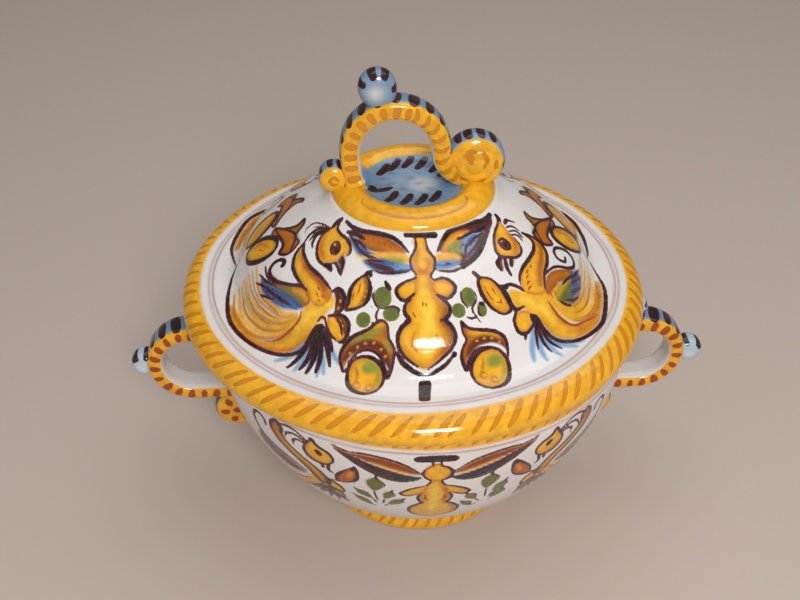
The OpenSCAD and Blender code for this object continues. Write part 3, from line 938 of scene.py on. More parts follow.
def build_collar(s):
    """The dished collar on the dome, yellow outside and blue in the dish."""
    base_z = COLLAR_LOW[2]
    crest_z = COLLAR_HIGH[2]
    outer_r = s["collar"] / 2
    height = crest_z - base_z
    slope = arc((s["crest"], base_z), outer_r - s["crest"], height, 0, 90, 22)
    dish = spline([(s["crest"], crest_z), (s["crest"] - 1.8, crest_z - 0.5), (s["crest"] - 4, crest_z - 1.9),
        (s["crest"] - 8, crest_z - s["dish"] + 0.7), (14, crest_z - s["dish"]), (0, crest_z - s["dish"])], 9)
    profile = np.vstack([[[0, base_z - 0.5], [outer_r, base_z - 0.5]], slope, dish[1:]])
    rings, angle = turned(profile, [1] + [ROUND] * (len(profile) - 2) + [1], (LID_AXIS, 0))
    columns = np.array([len(ring) for ring in rings])
    r = np.repeat(profile[:, 0], columns)
    x = r * np.sin(angle)
    y = r * np.cos(angle)
    painting = Painting(x, y, "yellow")
    edge = DISH_R + 0.5 * np.sin(3 * angle) + 0.3 * np.sin(7 * angle + 1)
    in_dish = np.arange(len(r)) >= columns[:2 + len(slope)].sum()
    painting.zone((edge - r + 0.5) * in_dish, "blue")
    painting.zone(np.exp(-((r - edge) / 0.8) ** 2) * 0.5 * in_dish, "leaf")
    # Lighter blue towards the dish's middle, and a painted reflection: a white patch just off the middle
    painting.zone((1 - (r / 19) ** 2) * 0.6 * in_dish, "pale_blue")
    painting.zone((1 - (np.hypot(x - 5, y - 2) / 9) ** 2) * 0.7 * in_dish, "white")
    mottle = np.sin(x * 0.42 + 1.3 * np.sin(0.31 * y)) * np.sin(y * 0.55 + 1)
    painting.zone((mottle - 0.25) * 0.55 * in_dish * (r < 24), "deep_blue")
    painting.place(np.where(in_dish & (r < DISH_R - 0.5), x, OFF_SHEET), y)
    rng = np.random.default_rng(31)
    for turn in np.radians((-40, -15, 9, 34, 122, 142, 163, 184, 206, 228)):
        reach = 19.6 - 1.4 * np.cos(turn)
        x = reach * np.sin(turn) + rng.normal(0, 0.3)
        y = reach * np.cos(turn) + rng.normal(0, 0.3)
        dash = [(x - 2.6, y + 4.6), (x + 0.3, y + 0.2), (x + 2.2, y - 4.6)]
        painting.outline(4.6, dash, ends=(0.8, 0.75))
    painting.outline(5.6, [(-22.6, 4.6), (-21.8, 7.6)], ends=0.8)
    painting.outline(4.2, [(-20.6, 8.4), (-16, 7), (-12, 4.4)], ends=(0.8, 0.45))
    painting.place(np.where(in_dish, OFF_SHEET, wrapped(angle) * 38), r)
    painting.tint("rust", 0.9,
        [(-35, 34.4), (-31.4, 37.4), (-16, 39), (0, 39.2), (14, 39), (27, 37.8), (32, 34.8)], 0.5, 0.75)
    painting.tint("rust", 0.7, [(-30, 36.4), (-16, 37.9), (-4, 38.2)], 0.5, 0.5)
    painting.tint("rust", 1.6, [(31, 35.8), (33, 33)], 0.5, 0.75)
    return make_piece("collar_painted", rings, painting, "lid", ["lid_collar"])


def spiral_groove(x, z):
    """Depth of the groove pressed into the scroll: a round-bottomed furrow, deepest along half
    turns whose radius shrinks by a step each and whose centres alternate, as in the solid."""
    depth = np.zeros_like(x)
    for half_turn in range(VOLUTE_HALF_TURNS):
        odd = half_turn % 2
        r = VOLUTE_R - half_turn * VOLUTE_STEP
        dx = x - odd * VOLUTE_STEP
        off = np.abs(np.hypot(dx, z) - r)
        reached = (z > 0) if odd else (z <= 0)
        depth = np.maximum(depth, np.where(reached, VOLUTE_CUT * np.exp(-(off / 1.15) ** 2), 0))
    return depth


def build_lid_handle(s):
    """The arch with its slow left leg and turned-out right leg, the knob, the small curl and the
    large scroll."""
    top_z = SEAT_Z + s["edge_drop"] + s["dome_rise"]
    arch_z = top_z + ARCH_RISE
    arch_x = LID_AXIS + ARCH_OFFSET
    half_thick = s["arch_thick"] / 2
    leg_x = arch_x - s["arch"] + s["leg_curve"]
    leg_sweep = math.degrees(math.asin(ARCH_RISE / s["leg_curve"]))
    toe_x = arch_x + s["arch"] + s["toe_curve"]
    path = np.vstack([
        arc((leg_x, arch_z), s["leg_curve"], s["leg_curve"], 180 + leg_sweep, 180, 20)[:-1],
        arc((arch_x, arch_z), s["arch"], s["arch"], 180, 0, 60)[:-1],
        arc((toe_x, arch_z), s["toe_curve"], s["toe_curve"], 180, 180 + TOE_SWEEP + 14, 28),
    ])
    travelled = np.hypot(*np.diff(path, axis=0).T).sum()
    path = resampled(path, 200)
    rings, u, v, girth = pulled(path, s["arch_thick"], s["arch_deep"], (7.5,), toe=16)
    painting = Painting(u, v, "yellow")
    faces_of_strap(painting, v, girth, half_thick + 0.6, "white")
    underside = (v < 0.6 - half_thick) & (v > half_thick - 0.6 - girth / 2)
    painting.zone(np.maximum((16 - u) / 5, (u - travelled + 20) / 6) * underside, "sky")
    back = np.where(v > 0, v - girth / 2, v + girth / 2)
    for sheet_v, seed in ((v, 41), (back, 42)):
        painting.place(u, sheet_v)
        dashes(painting, "ochre", np.arange(11, travelled * 0.56, 6.4), (-1.9, 1.7),
            width=3.9, seed=seed, ends=0.85, lean=0.3)
        for place in np.arange(travelled * 0.56 + 2, travelled - 2, 6.2):
            hook = [(place + 0.2, -3.4), (place + 1.3, -0.4), (place - 0.6, 3.8)]
            painting.stroke("ochre", 2.7, hook, (0.8, 0.35))
    painting.place(u, v - girth / 4)
    dashes(painting, "manganese", np.arange(9, travelled - 18, 7.6), (-5.2, 4.4),
        width=4.6, seed=44, ends=0.75, lean=0.8)
    make_piece("arch_painted", rings, painting, "lid", ["lid_handle_arch"])

    reach = s["arch"] + half_thick + s["knob"] - 3
    turn = math.radians(ARCH_KNOB_ANGLE)
    build_roll(
        "arch_knob_painted", (arch_x + reach * math.cos(turn), arch_z + reach * math.sin(turn)), s["knob"],
        s["roll_deep"], "blue", ("blue", None), (5, 62, 104, 158), ("lid", ["lid_handle_knob"]),
        "blue_glaze", dash=(-7.6, 7.4, 4.8), squareness=2.7, joint=ARCH_KNOB_ANGLE + 180,
    )
    curl_z = top_z + s["small_curl"] + 0.5
    drop = arch_z - curl_z
    curl_x = leg_x - math.sqrt((s["leg_curve"] + half_thick) ** 2 - drop ** 2) - s["small_curl"] + 3
    build_roll("small_curl_painted", (curl_x, curl_z), s["small_curl"], s["roll_deep"], "yellow",
        ("yellow", (40, 195, "blue")), (62, 104, 146), ("lid", ["lid_handle_small_curl"]), "blue_glaze",
        spots=("ochre", 1.8, [[(2.2, 0.5), (0.4, 2.4), (-2.2, 0.6), (-0.6, -2.0), (1.6, -1.6)]]),
        dash=(-4.2, 5, 3.8), joint=-20)
    scroll_z = arch_z - s["toe_curve"] - half_thick + s["scroll"]
    build_roll("scroll_painted", (toe_x, scroll_z), s["scroll"], s["scroll_deep"], "yellow",
        ("yellow", (-30, 200, "blue")), (-3, 54, 79, 102, 127), ("lid", ["lid_handle_scroll"]),
        "yellow_glaze", spots=("ochre", 2.6, [
            [(-6.4, 5.4), (-3.4, 8.2), (-0.6, 7.6)], [(-4.6, 3.6), (-2.4, 6)], [(10.6, 1.6), (10.4, -2.4)],
            [(-1.6, 4.6), (-3, 2.2), (-1.8, 0.8)], [(3, 7.4), (5.6, 3), (4, -1.6)],
            [(-13, -2), (-10, -6.5), (-5, -9)], [(2, -10.4), (4.6, -9)],
        ]), dash=(-5.0, 7.4, 4.8), spiral=spiral_groove, count=220)


# ---- Borders and ornament ----

def paint_lid(painting, angle, distance, edge_start, lid_r):
    """White ground, two thin mauve lines, a yellow rolled edge with a rope of ochre strokes, and the
    same ornament in front and behind."""
    wobble = 0.35 * np.sin(3 * angle + 1) + 0.2 * np.sin(8 * angle)
    for ring, strength in ((6.3, 1), (4.1, 0.8)):
        painting.zone(np.exp(-((distance - edge_start + ring + wobble) / 0.6) ** 2) * strength, "mauve")
    painting.zone((distance - edge_start - 0.3 + wobble) / 0.9 + 0.5, "yellow")
    slant = -(0.9 - 0.75 * np.exp(-(wrapped(angle + np.radians(100)) / np.radians(28)) ** 2))
    girth = 2 * np.pi * (lid_r - 4)
    rope(painting, "ochre", angle * (lid_r - 4), distance, girth,
        count=84, low=edge_start + 1.4, high=edge_start + 13.7, width=2.9, slant=slant, seed=3)
    for facing, swing in ((FRONT, 0), (BACK, 4.4)):
        turn = wrapped(angle - facing)
        on_sheet = np.abs(turn) < SHEET_HALF_ANGLE["lid"]
        u = np.where(on_sheet, distance * np.sin(CONE * turn), OFF_SHEET)
        painting.place(u, distance * np.cos(CONE * turn))
        lid_ornament(painting, swing)


def paint_bowl(painting, angle, drop):
    """White ground, a yellow border with a rope of ochre strokes under the rim, a mauve line, and
    the same ornament in front and behind."""
    on_wall = drop > -1
    wobble = 0.3 * np.sin(4 * angle) + 0.2 * np.sin(9 * angle + 2)
    painting.zone(((9.3 - drop + wobble) / 0.9 + 0.5) * on_wall, "yellow")
    painting.zone(np.exp(-((drop - 12 - wobble) / 0.6) ** 2), "mauve")
    border_v = np.where(on_wall, drop, OFF_SHEET)
    rope(painting, "ochre", angle * BORDER_R, border_v, 2 * np.pi * BORDER_R,
        count=98, low=1.4, high=8.6, width=2.4, slant=-0.8, seed=7)
    for facing in (FRONT, BACK):
        turn = wrapped(angle - facing)
        on_sheet = on_wall & (np.abs(turn) < SHEET_HALF_ANGLE["bowl"])
        painting.place(np.where(on_sheet, turn * WALL_SHEET, OFF_SHEET), drop)
        bowl_ornament(painting)


def lid_ornament(painting, swing):
    """A winged baluster between two crested birds, with sprigs, buds and fruit."""
    winged_baluster(painting)
    lid_left_wing(painting)
    lid_right_wing(painting)
    lid_sprigs(painting)
    lid_fruit(painting)
    side_fruit(painting, -1, 12, swing)
    side_fruit(painting, 1, -4, swing)
    left_bird(painting)
    right_bird(painting)


def winged_baluster(p):
    """The baluster under its bar, with two arms, a pear-shaped foot and two prongs."""
    stem = [(-2.6, 61), (2.4, 61), (3.6, 68), (6.6, 73), (6.4, 78), (4, 82), (-1, 82), (-4.6, 79), (-5.4, 74),
        (-3.4, 68.5)]
    right_arm = [(4, 85.5), (10.8, 83.8), (15, 86.7), (15.4, 90), (11.7, 93.8), (6, 92)]
    left_arm = [(-2, 84), (-9, 85.4), (-12.7, 88.3), (-11.7, 92.5), (-8.4, 93.8), (-2, 91.7)]
    body = [(-3.6, 80), (3.6, 80), (5, 88), (8, 93.8), (11.4, 97), (12, 101), (10, 105), (13.3, 109.2),
        (14, 114.2), (11.7, 119.2), (6.7, 124.2), (0, 129), (-5, 127.3), (-10, 122.5), (-13.3, 117.5),
        (-13.3, 113.3), (-11.7, 108.3), (-7.6, 105), (-9.2, 102), (-9.4, 98), (-6.6, 94), (-4.4, 89)]
    p.fill("yellow", stem, "ochre", 2.4)
    p.fill("yellow", right_arm, "orange", 3.2)
    p.fill("yellow", left_arm, "ochre", 2.2)
    p.fill("yellow", body, "ochre", 3.6)
    p.tint("pale_yellow", 6, [(-0.5, 92), (1.5, 100), (2, 110), (0, 121)], 2.5, 0.8)
    p.tint("ochre", 4.4, [(6.4, 95), (8.6, 101), (7.6, 106), (10, 111), (10.4, 116), (5, 123)], 1.8, 0.8)
    p.tint("umber", 2.6, [(9.6, 96.4), (10.6, 101), (9, 105.4), (12, 110), (12.4, 115), (8.6, 121)], 1.2,
        0.75)
    p.tint("orange", 2, [(-3.6, 63), (-1.6, 68), (-2.8, 74)], 1, 0.6)
    p.tint("orange", 3.4, arc((0.6, 76), 3.4, 3.6, -60, 200, 8), 1.4, 0.65)
    p.stroke("ochre", 1, arc((0.8, 76), 2.6, 3, -40, 170, 8), (0.5, 0.4))
    p.outline(3.6, [(-7, 59.4), (0, 59.8), (7.6, 60.2)], ends=(0.9, 1))
    p.outline(1.5, [(-2.8, 61), (-2.2, 65), (-3.4, 68.5), (-5.6, 73), (-5, 78), (-2.6, 81.6)],
        [(2.6, 61), (3.2, 65), (4, 68.5), (6.8, 73), (6.4, 78), (4.2, 82), (5.4, 84.4)], ends=0.5)
    p.outline(2, [(5.6, 84.4), (10.8, 83.4), (15.2, 86.4), (15.8, 90), (11.9, 94.2), (7, 92.2)],
        [(-3, 82.8), (-9.2, 85), (-13.2, 88.3), (-12.2, 92.8), (-9, 94.4), (-4.6, 91.2)], ends=(0.6, 0.7))
    p.outline(2.4, [(6.6, 92.4), (9.8, 95), (12.4, 98.4), (12.2, 102), (10.2, 105), (13, 108.4),
        (14.6, 113.6), (12.4, 119.2), (7, 124.6), (0.4, 129.4)], [(-6.2, 93.8), (-9.4, 97), (-9.6, 101),
        (-7.8, 104.6), (-11.4, 107.6), (-13.8, 112.6), (-13.2, 118.4), (-9.6, 123.6), (-4.4, 127.8)],
        ends=(0.5, 0.4))
    p.outline(2, [(-9.4, 104.8), (-7, 105.2)], ends=(0.8, 0.3))
    p.outline(1.6, [(9.4, 104.8), (7.2, 105.4)], ends=(0.8, 0.3))
    p.strokes("brick", 0.9, [(-0.6, 95.4), (-0.9, 98.6)], [(0.9, 96), (1.2, 99.4)],
        [(-5.8, 100.6), (-4.2, 103.8)])
    p.strokes("ochre", 1.3, [(-5, 110), (-7, 116), (-4, 121)], [(4.8, 112), (6.8, 116), (4.4, 120)])
    p.outline(3, [(-14.4, 120.3), (-12.4, 125), (-7.5, 129.4), (-0.6, 133.2)], ends=(0.6, 0.5))
    p.outline(2.4, [(13.6, 122.6), (10, 126.8), (5, 130.2), (-0.6, 133.2)], ends=0.5)
    p.outline(2.8, [(14.1, 121.8), (13.9, 122.6)], ends=0.95)
    p.outline(3.2, [(-3.1, 136.2), (-3.6, 145)], [(-1.3, 136.2), (-2, 145.2)], [(0.4, 136.2), (-0.6, 145)],
        ends=1)


def lid_left_wing(p):
    """Ochre upper feathers over blue lower ones, edged with manganese."""
    p.fill("ochre", [(-32, 55.5), (-20, 58.6), (-12, 63.6), (-7.6, 69.4), (-14, 70), (-24, 67), (-31, 62)],
        "rust", 3)
    p.fill("yellow",
        [(-30, 66.4), (-22, 67.6), (-8, 69.6), (-5.4, 74.4), (-13, 74.4), (-21, 72.4), (-27, 70)], soft=1)
    p.tint("pale_yellow", 3.4, [(-33, 67.6), (-28, 70), (-21, 71)], 1, 0.9)
    p.fill("leaf", [(-17, 70.6), (-10, 71.4), (-9, 75.4), (-15, 74.4)], soft=1.5, cover=0.85)
    p.fill("deep_blue", [(-38, 56), (-32.4, 58.4), (-27, 65.6), (-24, 68.4), (-31, 68.6), (-35, 63.6)],
        soft=1)
    p.fill("deep_blue",
        [(-30, 71), (-21, 70.6), (-13, 74), (-4.6, 76.4), (-5.6, 79), (-13, 80.6), (-20, 79.6), (-25, 77)],
        soft=1)
    p.fill("sky", [(-14, 75.6), (-5, 76.2), (-6, 78.6), (-12, 78.4)], soft=1.2)
    p.outline(2.7, [(-39.8, 46.8), (-36, 51), (-30, 54.6), (-22, 57.2), (-15, 60), (-10.4, 63.6), (-6.4, 69)],
        [(-38.6, 53.2), (-34, 55.4), (-29, 59.2)], ends=(0.75, 0.4))
    p.outline(1.5, [(-38.4, 54), (-35, 59), (-32, 64.4), (-28, 68.4)], [(-36, 57), (-31, 61.4), (-28, 65.6)],
        [(-31, 66), (-27, 69.2), (-23, 70.4)], [(-26, 77), (-18, 79.6), (-9, 79.4), (-5, 78)],
        [(-28.6, 73), (-21, 75), (-14, 77.6)], [(-24, 75.8), (-17, 77.8), (-12, 79.4)],
        [(-29, 71.4), (-24, 72), (-19, 73.4)], ends=0.3)
    p.strokes("cobalt", 1.7, [(-35, 60), (-31, 64), (-28, 67)], [(-29, 72.2), (-20, 73.8), (-11, 77)],
        [(-22, 77.8), (-14, 78.8), (-7, 78.2)])
    p.strokes("brick", 1.1, [(-28, 58.6), (-27, 61)], [(-25, 59.4), (-24, 62)], [(-22, 60.4), (-21, 63)],
        [(-19, 62), (-18, 64.6)], [(-25.6, 64), (-24, 65.6)], [(-16, 64), (-15, 66.4)],
        [(-13.4, 66), (-12, 68)], [(-20.6, 66), (-19, 67.4)], ends=(0.7, 0.6))


def lid_right_wing(p):
    """Ochre and green inside, blue-black feathers outside."""
    p.fill("umber", [(9, 68.6), (12, 62.4), (16, 57.6), (22, 54.8), (30, 51.8), (37, 49.8), (42, 45),
        (40.6, 52), (38.8, 56), (34, 61), (30.6, 67.6), (26, 72.6), (20.6, 77), (18, 71)], soft=0.8,
        cover=0.85)
    p.fill("yellow", [(10.4, 68.6), (14, 61.6), (19.6, 58), (27, 56.4), (23, 61.4), (17, 66), (13, 69.4)],
        "orange", 2.6)
    p.fill("leaf", [(14.6, 66), (19, 63.4), (22.4, 65), (21, 69.4), (15.4, 69.6)], soft=1.3)
    p.fill("sky", [(24, 60), (31, 56.6), (35, 56), (31.6, 61.4), (26.4, 67.4), (22.4, 69.6), (22, 64.6)],
        soft=1.4)
    p.fill("yellow", [(8, 70.4), (17.6, 70), (20, 73), (8.4, 74.2)], soft=1)
    p.fill("sky", [(7, 74.6), (18, 73.4), (20, 75.8), (14, 78.6), (7, 78.4)], "deep_blue", 2, soft=1)
    p.outline(3.4, [(8.6, 69), (12, 62.8), (16, 57.8), (22, 54.8), (29, 52.2), (36.4, 49.8), (41.6, 45.2)],
        [(38.8, 55.4), (35.4, 60.4), (31.4, 67.4), (26.8, 72.8), (21, 77.4)], ends=(0.3, 0.8))
    p.outline(1.7, [(40.6, 48), (35, 54), (28, 57)], [(38, 56), (33, 60.6), (29, 66), (25, 70)],
        [(34.6, 57.6), (29.6, 60.6), (26.4, 65.4)], [(31, 56), (25, 59.4), (20, 62.6)],
        [(27.6, 62), (24, 66.6), (23, 71)], [(26.6, 71.6), (23, 74.8), (19, 76.4)],
        [(21, 77.4), (15, 79.8), (6.8, 79.2)], ends=(0.5, 0.3))
    p.outline(1.6, [(41.6, 45.6), (41.2, 50), (38.6, 55.6)], [(40.4, 48.6), (36, 54.4), (30, 57.6)],
        ends=(0.9, 0.4))
    for feather in ([(37.6, 52.4), (33.4, 57)], [(36.8, 57.6), (32.8, 61)], [(34, 61.8), (30, 65.6)],
            [(31, 66.4), (27, 70)], [(27.4, 71), (23.4, 73.6)]):
        p.tint("sky", 1.2, feather, 0.5, 0.7)
    p.strokes("cobalt", 1.5, [(7.4, 76.4), (13, 76.4), (18, 75)], [(30, 58.6), (25.6, 62.8), (23, 68)])
    p.outline(1.2, [(12, 75.4), (15, 75.6)], [(19, 62), (22, 60.6)], [(21, 66.4), (23.6, 63.6)])
    p.strokes("olive", 1.2, [(17, 67.8), (20, 64.8)], [(19.4, 68.6), (21.6, 66)])


def lid_sprigs(p):
    """Round olive leaves on thin stems, and a bud on each side."""
    for centre, rx, ry in (((-20, 91.8), 4.2, 5.5), ((-16.4, 100.9), 4.2, 3.6), ((-30.3, 102.6), 3.6, 4),
            ((22.2, 93.3), 3.7, 5), ((16.8, 100.4), 3.5, 3.8), ((28.8, 99.8), 2.5, 3.6)):
        half = min(rx, ry)
        reach = np.array((rx - half, ry - half))
        p.stroke("olive", 2 * half, [centre - reach, centre + reach + 0.01], 1)
    p.outline(2.6, [(-18.6, 83.8), (-17.4, 86.6), (-16, 88.6)], [(28, 96.4), (30, 97.2)], ends=(0.5, 0.3))
    p.outline(1.3, [(-24, 88), (-24.8, 92), (-23, 96.4), (-19.6, 97.8)],
        [(-22.4, 97.6), (-23.8, 101), (-23.2, 104.6)], [(-20.4, 98), (-16, 97), (-12.6, 98.4), (-12.8, 101)],
        [(-26.2, 104), (-24.4, 105.8)], [(18.6, 90.6), (18.8, 95), (21.6, 99)],
        [(25.8, 90.6), (26.2, 94.6), (24, 98.6), (24.4, 101.6), (27.8, 106.4)],
        [(20.4, 103.6), (23.4, 104.4), (26.6, 103)], [(27.6, 97), (27, 101), (28.4, 103.2)], ends=0.5)
    p.fill("yellow", [(-38.6, 96.4), (-37.4, 92.5), (-36.5, 86.7), (-33.3, 82), (-28.8, 79.6), (-26.6, 83.3),
        (-26.4, 88.3), (-28, 93), (-31, 95.6)], "ochre", 2.6, line=1.9)
    p.outline(3, [(-29.6, 80.2), (-27, 78.4), (-25.9, 79.6)], ends=(0.4, 0.8))
    p.outline(1.9, [(-39.6, 96.8), (-35, 96.6), (-30.4, 95.6)], ends=(0.7, 0.4))
    p.tint("umber", 2.8, [(-28.8, 81.6), (-27.8, 86), (-28.8, 91), (-31.4, 94.6)], 0.8, 0.8)
    for x, y in ((-28.6, 84.4), (-28.4, 87.6), (-29.2, 90.6), (-31.2, 93.4)):
        p.stroke("ochre", 1.2, [(x, y), (x + 0.3, y + 0.6)], 0.9)
    p.strokes("brick", 0.9, [(-31, 83.6), (-32, 87), (-33.8, 91)], [(-34.6, 88), (-35.4, 92.4)])
    p.fill("yellow", [(28.8, 83.4), (35, 83.6), (40, 88.5), (43.2, 94.2), (44.6, 99), (40.8, 101.6),
        (35, 99.6), (31, 94.8), (28.6, 89.2)], "orange", 3.4, line=1.9)
    p.outline(2.6, [(26.4, 80.4), (28, 82), (30, 83.4)], ends=(0.9, 0.5))
    p.strokes("brick", 0.9, [(31, 87), (33, 92), (36.6, 96.4)], [(34.6, 87.6), (37, 92)],
        [(38.6, 93), (40.4, 97.4)], [(36.8, 95.4), (40, 96.2)], ends=0.3)


def fruit(p, centre, radius, leaf_patch, marks):
    """A round yellow fruit with a green patch and little rust marks."""
    p.fill("white", arc(centre, radius + 2.4, radius + 2.4, 0, 330, 12))
    p.fill("yellow", arc(centre, radius, radius, 0, 330, 12), "ochre", 3.4, line=2)
    x, y = centre
    p.fill("leaf", arc((x + leaf_patch[0], y + leaf_patch[1]), 4.4, 3.6, 0, 315, 8), soft=1.1, cover=0.85)
    p.tint("leaf", 2.6, arc(centre, radius - 3, radius - 3, -50, 50, 6), 1.1, 0.75)
    p.tint("rust", 1.3, [(x - 4.6, y - 5), (x - 4.2, y - 1), (x - 5.2, y + 3)], 0.6, 0.75)
    for dx, dy in marks:
        p.tint("rust", 1, arc((x + dx, y + dy), 1.9, 1.6, 20, 340, 7), 0.5, 0.8)


def lid_fruit(p):
    """Two round fruits under curled leaves near the edge."""
    left_leaf = [(-44.2, 126.6), (-44.8, 120), (-41.8, 115), (-35.8, 110.2), (-28.3, 107.6), (-21.7, 103.6),
        (-18.4, 106.7), (-18.2, 112.4), (-15.9, 118.3), (-17.4, 125.8), (-20.4, 132), (-21.8, 127.5),
        (-23.3, 121.2), (-28.3, 117.6), (-34.2, 118.2), (-39, 121.6), (-41.9, 125.8)]
    p.fill("ochre", left_leaf, "rust", 3, line=1.7)
    p.tint("leaf", 4, [(-36, 113), (-29, 111), (-21.6, 108)], 1.5, 0.9)
    p.tint("leaf", 2.6, [(-20, 114), (-18, 119)], 1.3, 0.8)
    p.tint("yellow", 2, [(-24.6, 106.6), (-20, 105.8)], 1, 0.8)
    p.tint("umber", 4.6, [(-42.6, 121), (-38, 117), (-30, 114.6), (-23.6, 116.4), (-20.4, 122), (-19.4, 127)],
        0.9, 0.95)
    for x, y in ((-39, 118.6), (-34.6, 115.8), (-30.4, 114.4), (-26, 114.6), (-22.6, 118), (-21, 121.6),
            (-40.6, 122.4)):
        p.stroke("ochre", 1.7, [(x, y), (x + 0.6, y - 0.3)], 0.9)
    fruit(p, (-32.1, 130.4), 9.8, (2.6, -4.2), ((-4.6, 4.6), (2, 6.4)))
    right_leaf = [(17.9, 106.2), (21.7, 109.2), (28.3, 110), (35, 110.4), (40.6, 113.4), (43, 118.3),
        (43.6, 123.3), (41.4, 122.6), (37.5, 119.4), (31.7, 118.4), (25.4, 120), (22.2, 124.6), (20.8, 130),
        (18.2, 125), (18, 120), (20, 115), (18.4, 111.4)]
    p.fill("ochre", right_leaf, "rust", 3, line=1.7)
    p.tint("yellow", 3.2, [(22, 111), (30, 112), (37, 113.6)], 1.4, 0.85)
    p.tint("orange", 2.4, [(20, 118), (20.4, 123)], 1.2, 0.85)
    p.tint("umber", 4.6, [(21, 122), (23.6, 117.6), (28, 114.8), (34, 115), (39.4, 117.4), (42.4, 122)], 0.9,
        0.95)
    p.outline(2.6, [(17.8, 105.8), (19.4, 108.8)], ends=(0.5, 0.4))
    for x, y in ((25, 115.4), (29, 114), (33, 114), (37.4, 115.6)):
        p.stroke("ochre", 1.5, [(x, y), (x + 0.8, y)], 0.9)
    fruit(p, (33.8, 129.2), 10.6, (2.2, -4), ((-3.6, 3.4), (1.8, 5.6)))
    p.outline(1.8, [(43.4, 122.6), (44.9, 129), (42, 136)], ends=(0.7, 0.2))


def side_fruit(p, side, tilt, swing):
    """A long fruit under a curled leaf beside a bird, swung round the sheet's apex by an angle."""
    turn = np.radians(tilt)
    spin = np.array(((np.cos(turn), np.sin(turn)), (-np.sin(turn), np.cos(turn))))
    turn = np.radians(-side * swing)
    around = np.array(((np.cos(turn), np.sin(turn)), (-np.sin(turn), np.cos(turn))))
    centre = np.array((side * 96, 48))
    p.fill("yellow", (centre + arc((0, 0), 13.2, 7.9, 0, 330, 12) @ spin) @ around, "umber", 3.4, line=2.8)
    p.tint("orange", 2, (centre + np.array(((-8, -2), (-2, -4), (6, -1))) @ spin) @ around, 1.4, 0.8)
    p.strokes("brick", 1, (centre + np.array(((-2, -1), (2, 1), (6, 1.6))) @ spin) @ around)
    leaf = np.array(((-6, -15), (2, -11), (11, -10), (14.6, -14), (15.4, -9), (12, -2), (15, 4), (10, 10),
        (3, 8), (4.4, 2), (0, -5), (-6, -9)))
    leaf = ((side * 83, 49) + leaf * (-side, 0.92)) @ around
    p.fill("ochre", leaf, "umber", 2.6, line=1.6)
    p.tint("olive", 3, leaf[[2, 5, 6]], 1.4, 0.9)
    p.outline(1.7, leaf[[0, 9, 8]], leaf[[1, 5, 7]], ends=(0.5, 0.3))


